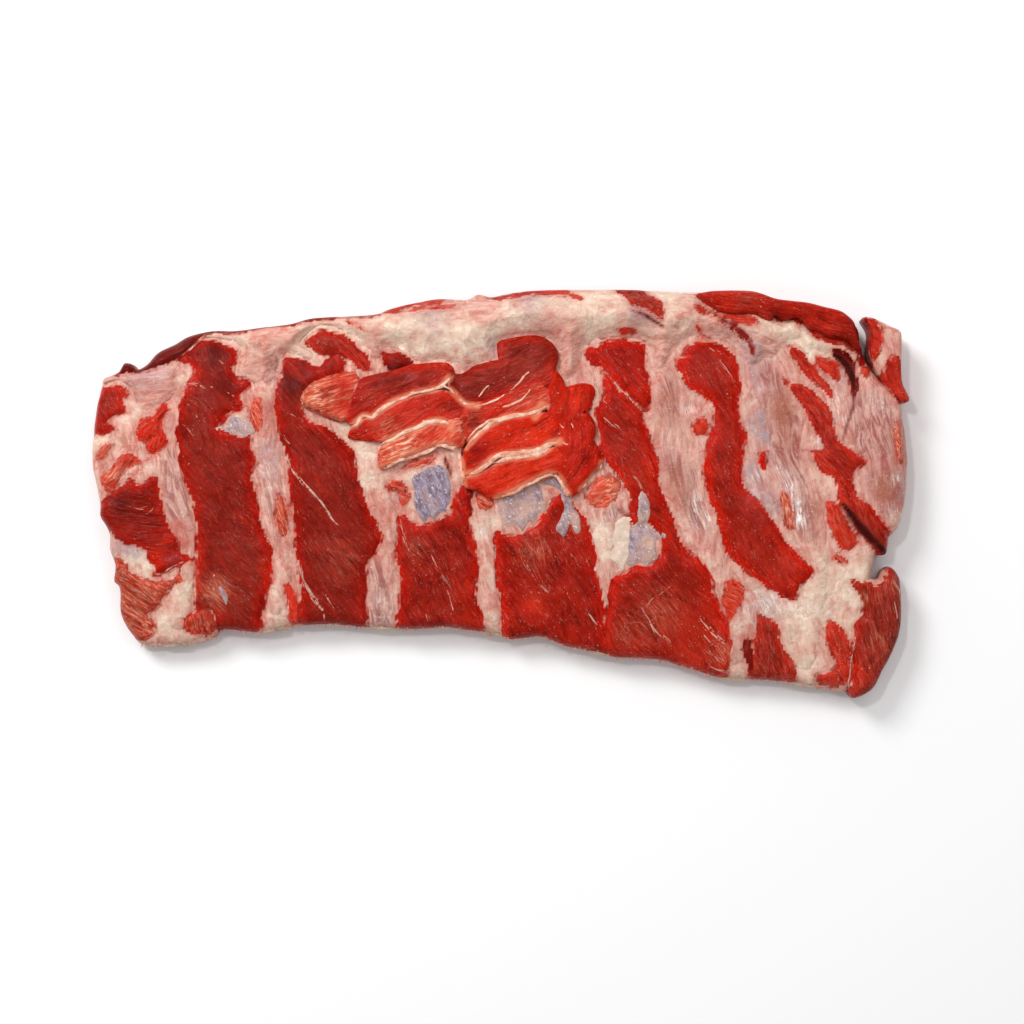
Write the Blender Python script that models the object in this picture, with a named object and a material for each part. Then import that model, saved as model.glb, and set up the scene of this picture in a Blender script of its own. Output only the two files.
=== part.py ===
"""A raw rack of beef back ribs, lying flat with its trimmed face up.

The frame: +X runs along the rack, +Y along the ribs towards the backbone, +Z up, and the origin is on the
table under the middle of the rack. Eight rib bones lie in channels in one slab of lean meat. A fat cap
covers the backbone edge, the slips of a strap muscle cross the middle bones, and three loose ends of meat
are left at the rack's borders.
"""

import math

import bmesh
import bpy
import numpy as np

MM = 0.001  # every size below is in millimetres
GAP = 0.35  # left between two pieces that touch

# The slab's four borders, seen from above. The lower border is the cut across the rib bones.
LOWER = [(-190, -78), (-170, -79), (-150, -75), (-127, -72), (-75, -70), (-15, -72), (22, -76), (57, -85),
         (105, -93), (150, -99), (181, -105)]
UPPER = [(-209, 61), (-188, 67), (-172, 78), (-155, 85), (-120, 88), (-95, 92), (-65, 94), (-45, 101),
         (0, 104), (40, 107), (100, 106), (140, 103), (170, 97), (189, 90)]
LEFT = [(-190, -78), (-200, -60), (-203, -36), (-211, -9), (-215, 24), (-213, 45), (-209, 61)]
RIGHT = [(181, -105), (187, -70), (192, -46), (202, -29), (213, 5), (215, 22), (211, 46), (193, 64), (189, 90)]

# The ribs: where each one's centre line crosses the rack at five heights, from the cut to the backbone edge.
RIB_LINES = [
    (-175, -165, -170, -174, -186),
    (-120, -115, -119, -125, -129),
    (-62, -60, -65, -70, -67),
    (-1, -8, -13, -18, -21),
    (54, 54, 53, 41, 32),
    (125, 117, 97, 89, 79),
    (172, 168, 155, 144, 130),
    (200, 197, 199, 195, 184),
]
RIB_START = [0, 0, 0, 0, 0, 0, 0, 0.40]  # the last rib ends short of the cut
RIB_END = [0.93, 0.93, 0.93, 0.93, 0.93, 0.93, 0.93, 0.80]  # under the fat cap
RIB_WIDTH = 19
RIB_DEPTH = 11
RIB_SWELL = 0.04  # how much a rib's thickness comes and goes, as a share of it
RIB_STATIONS = 12
RIB_SIDES = 10
CHANNEL_PLAY = 2.4 * GAP  # how much wider a channel is than its bone
PAST_CUT = 6  # how far a channel's cutter runs out of the cut
CREST = [(0, 20), (0.25, 25), (0.5, 28), (0.75, 28), (0.9, 25), (1, 22)]  # the height of the ribs' upper faces
DIVE = 8  # how far they sink under the fat cap

# The lean slab
SHOULDER = 1.6  # how far the meat lies below a rib's crest beside the bone
HOLLOW = 2.6  # how much lower it lies halfway to the next bone
SLAB_GRID = (48, 20)
# Inset of the slab's side from its border, against the share of its height
SIDE = [(0, 3.0), (0.2, 0.6), (0.6, 0), (0.88, 0.9), (1, 3.2)]

# The fat cap along the backbone edge: its border towards the cut, lobed where fat runs down over the bones
CAP_LOW = [(-205, 46), (-194, 43), (-180, 45), (-166, 63), (-151, 72), (-138, 71), (-124, 57), (-113, 72),
           (-97, 70), (-82, 66), (-68, 64), (-45, 68), (-20, 63), (0, 78), (20, 80), (38, 62), (50, 76),
           (70, 79), (85, 62), (98, 76), (118, 79), (134, 68), (150, 74), (168, 73), (186, 65)]
CAP_HIGH = [(-209, 59.5), (-190, 65), (-172, 74), (-155, 82), (-120, 86.5), (-95, 90.5), (-65, 92.5), (-45, 99.5),
            (0, 102.5), (40, 105.3), (75, 104.8), (97, 102.5), (108, 97.5), (130, 94), (150, 89), (168, 82), (187, 76.5)]
CAP_FLOOR = 21.5
CAP_ROOF = [(-209, 27), (-150, 30), (-100, 34), (-20, 37), (60, 37), (120, 36), (187, 29)]
CAP_GRID = (56, 5)
CAP_LUMPS = 1.4  # height of the lumps in the fat
CAP_SIDE = [(0, 1.2), (0.4, 0), (1, 2.2)]

# The strap muscle: slips that cross the third, fourth and fifth ribs, each one a centre line and its width
SLIP_BED = 29.2
SLIP_DEPTH = 5.2
SLIPS = {
    "slip_left_1": ([(-102, 50), (-92, 51), (-80, 51)], 15),
    "slip_left_2": ([(-77, 46), (-65, 53), (-46, 59), (-29, 61)], 12),
    "slip_left_3": ([(-76, 33), (-60, 38), (-42, 44), (-25, 47)], 12),
    "slip_left_4": ([(-62, 21), (-48, 24), (-36, 30), (-24, 32)], 12),
    "slip_right_1": ([(-25, 57), (-8, 58), (8, 65), (27, 66)], 17),
    "slip_right_2": ([(-19, 35), (-4, 42), (10, 49), (31, 51)], 13),
    "slip_right_3": ([(-18, 18), (-4, 27), (14, 31), (44, 36)], 13),
    "slip_right_4": ([(-17, 3), (0, 8), (20, 13), (48, 19)], 13),
}
STRAP = [(-104, 50), (-74, 62), (-22, 68), (28, 76), (52, 50), (54, 14), (38, 2), (-16, -6), (-40, 12),
         (-66, 14)]  # the patch of the slab that is filled up to carry them

# The muscle along the backbone edge at the right, beside the cap: its lower, upper, left and right borders
BACK_MUSCLE = (
    [(107, 98.5), (130, 95), (150, 90), (168, 83), (187, 77.5)],
    [(107, 105), (130, 105), (140, 102), (160, 98.5), (170, 95.5), (188, 89)],
    [(107, 98.5), (107, 105)],
    [(187, 77.5), (188, 89)],
)
BACK_ROOF = 34

# Loose ends: the four borders of each (lower, upper, left, right) and its height
CORNER_MUSCLE = (
    [(182, -106), (190, -107), (197, -100)],
    [(189, -44), (201, -38), (208, -42)],
    [(182, -106), (188.5, -70), (189, -44)],
    [(197, -100), (207, -84), (211, -62), (208, -42)],
)
CORNER_HEIGHT = 25
END_FLAP = (
    [(200, 60), (207, 52), (214, 49)],
    [(194, 91), (203, 89), (211, 85)],
    [(200, 60), (194, 70), (194, 91)],
    [(214, 49), (211, 64), (211, 85)],
)
END_FLAP_HEIGHT = 26


def smooth_through(points, at):
    """The cubic curve through (position, value) points, read at one position or an array of them."""
    knots = np.array(points, float)
    x, y = knots[:, 0], knots[:, 1]
    slope = np.gradient(y, x)
    at = np.clip(at, x[0], x[-1])
    i = np.clip(np.searchsorted(x, at, side="right") - 1, 0, len(x) - 2)
    step = x[i + 1] - x[i]
    t = (at - x[i]) / step
    return ((2 * t**3 - 3 * t**2 + 1) * y[i] + (t**3 - 2 * t**2 + t) * step * slope[i]
            + (3 * t**2 - 2 * t**3) * y[i + 1] + (t**3 - t**2) * step * slope[i + 1])


def along(points, share, axis=0):
    """The point on the smooth line through the points, at a share of its run in x (or in y for axis 1)."""
    line = np.array(points, float)
    run = line[:, axis]
    place = run[0] + share * (run[-1] - run[0])
    point = np.array([smooth_through(list(zip(run, line[:, k])), place) for k in (0, 1)])
    point[axis] = place
    return point


def inside(x, y, border):
    """How far a point is inside a border: the distance to it, negative outside."""
    ends = np.array(border, float)
    nearest, crossings = 1e9, 0
    for (ax, ay), (bx, by) in zip(ends, np.roll(ends, -1, axis=0)):
        share = np.clip(((x - ax) * (bx - ax) + (y - ay) * (by - ay)) / ((bx - ax) ** 2 + (by - ay) ** 2), 0, 1)
        nearest = min(nearest, math.hypot(x - ax - share * (bx - ax), y - ay - share * (by - ay)))
        if (ay > y) != (by > y) and x < ax + (y - ay) / (by - ay) * (bx - ax):
            crossings += 1
    return nearest if crossings % 2 else -nearest


def blend(low, high, value):
    """0 below low and 1 above high, smooth between them."""
    t = min(1, max(0, (value - low) / (high - low)))
    return t * t * (3 - 2 * t)


def height_share(x, y):
    """Where a point lies between the cut (0) and the backbone edge (1)."""
    low, high = smooth_through(LOWER, x), smooth_through(UPPER, x)
    return float(np.clip((y - low) / (high - low), 0, 1))


def rib_x(rib, share):
    """The x of a rib's centre line at a share of the way from the cut to the backbone edge."""
    return float(smooth_through(list(zip(np.linspace(0, 1, 5), RIB_LINES[rib])), share))


def crest(share):
    return float(smooth_through(CREST, share))


def slab_top(x, y):
    """The upper face of the lean: a shoulder along each bone, and a hollow between two bones."""
    share = height_share(x, y)
    away = min(abs(x - rib_x(rib, share)) for rib in range(len(RIB_LINES)))
    open_meat = crest(share) - SHOULDER - HOLLOW * blend(RIB_WIDTH / 2, RIB_WIDTH, away)
    carried = blend(-6, 1, inside(x, y, STRAP))
    return open_meat * (1 - carried) + (SLIP_BED - GAP) * carried


def lump(x, y):
    """The rise and fall of soft fat, from -1 to 1."""
    return (math.sin(x / 9.5) * math.cos(y / 7 + x / 31) + math.sin(x / 17 + y / 11)) / 2


def cap_top(x, y):
    """The upper face of the fat cap, which falls to both of its borders."""
    low, high = smooth_through(CAP_LOW, x), smooth_through(UPPER, x)
    across = float(np.clip((y - low) / (high - low), 0, 1))
    bulge = math.sin(math.pi * (0.12 + 0.76 * across))
    roof = float(smooth_through(CAP_ROOF, x))
    return CAP_FLOOR + 2 + (roof - CAP_FLOOR - 2) * bulge + CAP_LUMPS * lump(x, y)


def between(borders, u, v):
    """The point at shares u and v of the patch between four borders."""
    lower, upper, left, right = borders
    bottom, top = along(lower, u), along(upper, u)
    west, east = along(left, v, 1), along(right, v, 1)
    low = (1 - u) * np.array(lower[0]) + u * np.array(lower[-1])
    high = (1 - u) * np.array(upper[0]) + u * np.array(upper[-1])
    return (1 - v) * (bottom - low) + v * (top - high) + (1 - u) * west + u * east


def link(name, mesh, collection, material=None):
    made = bpy.data.objects.new(name, mesh)
    collection.objects.link(made)
    if material:
        mesh.materials.append(material)
        mesh.shade_smooth()
    return made


def block(name, borders, grid, floor, roof, side, collection, material=None, grow=0):
    """A closed block of soft meat between four borders, its faces at floor and roof and its side rounded.

    A grid is extruded to a box with a ring of points for each step of the side, and then bent into place.
    """
    lower, upper, left, right = borders
    shape = bmesh.new()
    bmesh.ops.create_grid(shape, x_segments=grid[0], y_segments=grid[1], size=0.5)
    made = bmesh.ops.extrude_face_region(shape, geom=shape.faces[:])
    for vert in made["geom"]:
        if isinstance(vert, bmesh.types.BMVert):
            vert.co.z = 1
    upright = [edge for edge in shape.edges if abs(edge.verts[0].co.z - edge.verts[1].co.z) > 0.5]
    bmesh.ops.subdivide_edges(shape, edges=upright, cuts=len(side) - 2)
    levels = np.linspace(0, 1, len(side))
    underside = [face for face in shape.faces if all(vert.co.z < 1e-6 for vert in face.verts)]
    for vert in shape.verts:
        u, v, level = vert.co.x + 0.5, vert.co.y + 0.5, vert.co.z
        share, inset = side[int(np.argmin(abs(levels - level)))]
        wide = along(right, v, 1)[0] - along(left, v, 1)[0]
        long = along(upper, u)[1] - along(lower, u)[1]
        u += (inset - grow) * (1 - 2 * u) / wide
        v += (inset - grow) * (1 - 2 * v) / long
        x, y = between(borders, u, v)
        z_low, z_high = floor - grow, roof(x, y) + grow
        vert.co = np.array((x, y, z_low + share * (z_high - z_low))) * MM
    bmesh.ops.dissolve_faces(shape, faces=underside)
    bmesh.ops.triangulate(shape, faces=shape.faces[:])
    bmesh.ops.recalc_face_normals(shape, faces=shape.faces[:])
    mesh = bpy.data.meshes.new(name)
    shape.to_mesh(mesh)
    shape.free()
    return link(name, mesh, collection, material)


def bar(name, points, radii, profile, collection, material=None):
    """A solid bar with this cross-section along the points, its size multiplied by the radii."""
    section = bpy.data.curves.new(name + "_section", "CURVE")
    ring = section.splines.new("POLY")
    ring.points.add(len(profile) - 1)
    for point, (across, up) in zip(ring.points, profile):
        point.co = (across * MM, up * MM, 0, 1)
    ring.use_cyclic_u = True
    section_object = bpy.data.objects.new(name + "_section", section)
    collection.objects.link(section_object)

    path = bpy.data.curves.new(name + "_path", "CURVE")
    path.dimensions = "3D"
    path.twist_mode = "Z_UP"
    path.bevel_mode = "OBJECT"
    path.bevel_object = section_object
    path.use_fill_caps = True
    line = path.splines.new("POLY")
    line.points.add(len(points) - 1)
    for point, place, radius in zip(line.points, points, radii):
        point.co = (*(c * MM for c in place), 1)
        point.radius = radius
    path_object = bpy.data.objects.new(name + "_path", path)
    collection.objects.link(path_object)

    mesh = bpy.data.meshes.new_from_object(path_object.evaluated_get(bpy.context.evaluated_depsgraph_get()))
    shape = bmesh.new()
    shape.from_mesh(mesh)
    bmesh.ops.remove_doubles(shape, verts=shape.verts[:], dist=0.02 * MM)
    bmesh.ops.recalc_face_normals(shape, faces=shape.faces[:])
    shape.to_mesh(mesh)
    shape.free()
    mesh.name = name
    for helper in (path_object, section_object):
        bpy.data.objects.remove(helper)
    return link(name, mesh, collection, material)


def oval(width, depth, sides):
    """The flat oval of a rib's cross-section."""
    turns = [2 * math.pi * (k + 0.5) / sides for k in range(sides)]
    return [(width / 2 * math.cos(a), depth / 2 * math.sin(a)) for a in turns]


def mound(width, depth, steps=6):
    """The cross-section of a slip of muscle: flat below and rounded above."""
    turns = [math.pi * k / steps for k in range(steps + 1)]
    return [(width / 2 * math.cos(a), depth * math.sin(a) ** 0.7) for a in turns]


def rib_path(rib):
    """Points and radii along a rib, from the cut towards the backbone edge."""
    points, radii = [], []
    for share in np.linspace(RIB_START[rib], RIB_END[rib], RIB_STATIONS):
        x = rib_x(rib, share)
        low, high = smooth_through(LOWER, x), smooth_through(UPPER, x)
        depth = RIB_DEPTH / 2 + DIVE * blend(0.7, 0.95, share)
        points.append((x, low + share * (high - low), crest(share) - depth))
        radii.append(1 + RIB_SWELL * math.sin(5 * share + rib))
    return points, radii


def make_rib(rib, bones, cutters, bone):
    """One rib bone, and the cutter that opens its channel in the meat and the fat."""
    points, radii = rib_path(rib)
    bar(f"rib_{rib + 1}", points, radii, oval(RIB_WIDTH, RIB_DEPTH, RIB_SIDES), bones, bone)
    x, y, z = points[-1]
    points[-1] = (x, y + GAP, z)
    x, y, z = points[0]
    points.insert(0, (x, y - (PAST_CUT if RIB_START[rib] == 0 else GAP), z))
    radii.insert(0, radii[0])
    wide = oval(RIB_WIDTH + CHANNEL_PLAY, RIB_DEPTH + CHANNEL_PLAY, RIB_SIDES)
    bar(f"channel_{rib + 1}", points, radii, wide, cutters)


def make_slip(name, line, width, depth, base, collection, material):
    """One slip of muscle, tapered to both ends, on a flat bed."""
    shares = np.linspace(0, 1, 11)
    points = [(*along(line, share), base) for share in shares]
    radii = [0.45 + 0.55 * math.sin(math.pi * (0.06 + 0.88 * share)) ** 0.6 for share in shares]
    return bar(name, points, radii, mound(width, depth), collection, material)


def cut(piece, cutters):
    """Takes every cutter of a collection out of the piece."""
    modifier = piece.modifiers.new("channels", "BOOLEAN")
    modifier.operation = "DIFFERENCE"
    modifier.operand_type = "COLLECTION"
    modifier.collection = cutters


def collection_of(name):
    made = bpy.data.collections.new(name)
    bpy.context.scene.collection.children.link(made)
    return made


def hide(cutters):
    for helper in cutters.objects:
        helper.hide_render = True
        helper.display_type = "WIRE"


def material(name, colour, roughness):
    made = bpy.data.materials.new(name)
    made.use_nodes = True
    shader = made.node_tree.nodes["Principled BSDF"]
    shader.inputs["Base Color"].default_value = (*colour, 1)
    shader.inputs["Roughness"].default_value = roughness
    shader.inputs["Metallic"].default_value = 0
    return made


def main():
    for thing in list(bpy.data.objects):
        bpy.data.objects.remove(thing)
    rack = collection_of("beef_rib_rack")
    channels = collection_of("rib_channels")
    beds = collection_of("beds")

    lean = material("lean", (0.33, 0.02, 0.012), 0.35)
    strap = material("strap_lean", (0.52, 0.045, 0.02), 0.35)
    fat = material("fat", (0.72, 0.52, 0.40), 0.4)
    bone = material("bone", (0.66, 0.40, 0.33), 0.35)

    for rib in range(len(RIB_LINES)):
        make_rib(rib, rack, channels, bone)

    cap_ends = ([CAP_LOW[0], CAP_HIGH[0]], [CAP_LOW[-1], CAP_HIGH[-1]])
    blocks = {
        "fat_cap": ((CAP_LOW, CAP_HIGH, *cap_ends), CAP_GRID, CAP_FLOOR, cap_top, CAP_SIDE, fat),
        "back_muscle": (BACK_MUSCLE, (20, 4), CAP_FLOOR, lambda x, y: BACK_ROOF, CAP_SIDE, lean),
        "corner_muscle": (CORNER_MUSCLE, (5, 8), 0, lambda x, y: CORNER_HEIGHT, SIDE, lean),
        "end_flap": (END_FLAP, (5, 8), 0, lambda x, y: END_FLAP_HEIGHT, SIDE, lean),
    }
    for name, (borders, grid, floor, roof, side, colour) in blocks.items():
        made = block(name, borders, grid, floor, roof, side, rack, colour)
        block(name + "_bed", borders, grid, floor, roof, side, beds, grow=GAP)
        if name == "fat_cap":
            cut(made, channels)

    slab = block("meat", (LOWER, UPPER, LEFT, RIGHT), SLAB_GRID, 0, slab_top, SIDE, rack, lean)
    cut(slab, channels)
    cut(slab, beds)

    for name, (line, width) in SLIPS.items():
        make_slip(name, line, width, SLIP_DEPTH, SLIP_BED, rack, strap)
    hide(channels)
    hide(beds)


main()
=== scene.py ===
"""The looks of a raw rack of beef back ribs, lying flat with its trimmed face up.

Lengths are in millimetres until a mesh is made. +X runs along the rack, +Y towards the backbone edge and
+Z up. The file follows the rack as it is built up: the slab of lean, the bones in it, the fat cap, the strap
muscle across the middle, the skins and sinews on top, the loose ends, and last the table and the light.
"""

import math

import bpy
import numpy as np
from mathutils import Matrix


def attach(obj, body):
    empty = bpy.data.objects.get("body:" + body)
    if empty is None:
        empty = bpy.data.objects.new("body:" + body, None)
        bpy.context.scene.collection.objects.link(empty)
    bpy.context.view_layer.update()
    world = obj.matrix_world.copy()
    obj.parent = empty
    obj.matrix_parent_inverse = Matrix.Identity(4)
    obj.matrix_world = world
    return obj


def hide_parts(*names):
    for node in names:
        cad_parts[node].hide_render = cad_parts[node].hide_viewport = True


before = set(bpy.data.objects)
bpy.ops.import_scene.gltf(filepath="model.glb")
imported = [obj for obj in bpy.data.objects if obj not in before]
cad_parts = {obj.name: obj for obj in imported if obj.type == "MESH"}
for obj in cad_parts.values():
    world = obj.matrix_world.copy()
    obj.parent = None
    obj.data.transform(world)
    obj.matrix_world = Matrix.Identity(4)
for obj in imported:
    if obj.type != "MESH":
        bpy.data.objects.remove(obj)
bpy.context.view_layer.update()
MM = 0.001

# ---------------------------------------------------------------------------------------------------------
# The slab: lean meat from between and under the ribs, trimmed with a knife. Muscle lies in lobes between the
# bones, each with its own run of fibres, and pale fat and membrane fill the seams between the lobes.

RACK = [(-210, 60), (-205, 63), (-202, 64.5), (-199, 69), (-195, 68), (-192, 65.5), (-187, 68), (-181, 74.5),
    (-172, 79), (-165, 83), (-153, 86), (-140, 86), (-125, 88), (-112, 89.5), (-105, 91.5), (-97, 93),
    (-75, 94), (-65, 95), (-58, 98), (-40, 102), (-30, 103), (-18, 102.5), (-12, 105.5), (-5, 104), (5, 106),
    (20, 107.5), (60, 108), (100, 106.5), (130, 106.3), (139, 105), (147, 102), (160, 100), (170, 97.5),
    (180, 95), (186, 90), (189, 86), (190, 76), (193, 70), (198, 62), (205, 56), (210, 50), (212, 38),
    (213, 22), (213, 10), (211, -5), (208, -13), (205, -20), (204, -28), (203, -32), (198, -33), (196, -38),
    (195, -46), (194, -56), (194, -70), (191, -84), (189, -98), (184, -105), (172, -103), (160, -101),
    (150, -99.5), (138, -98.5), (124, -98), (115, -97), (105, -94), (95, -91), (85, -88), (72, -87),
    (60, -86.5), (52, -84), (36, -81), (28, -78), (20, -75.5), (5, -77), (-3, -74), (-18, -72), (-30, -70.5),
    (-45, -71.5), (-73, -70.5), (-90, -69), (-105, -69.5), (-113, -70), (-122, -72.5), (-128, -73.5),
    (-138, -72.5), (-148, -72), (-152, -76), (-160, -78.5), (-176, -80), (-190, -80), (-196, -73),
    (-199, -68), (-201, -62), (-201, -50), (-204, -46), (-203, -38), (-206, -30), (-206, -22), (-208, -17),
    (-211, -12), (-211, -5), (-213, 5), (-215, 15), (-215, 25), (-214, 35), (-213, 45), (-211, 57)]

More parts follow.
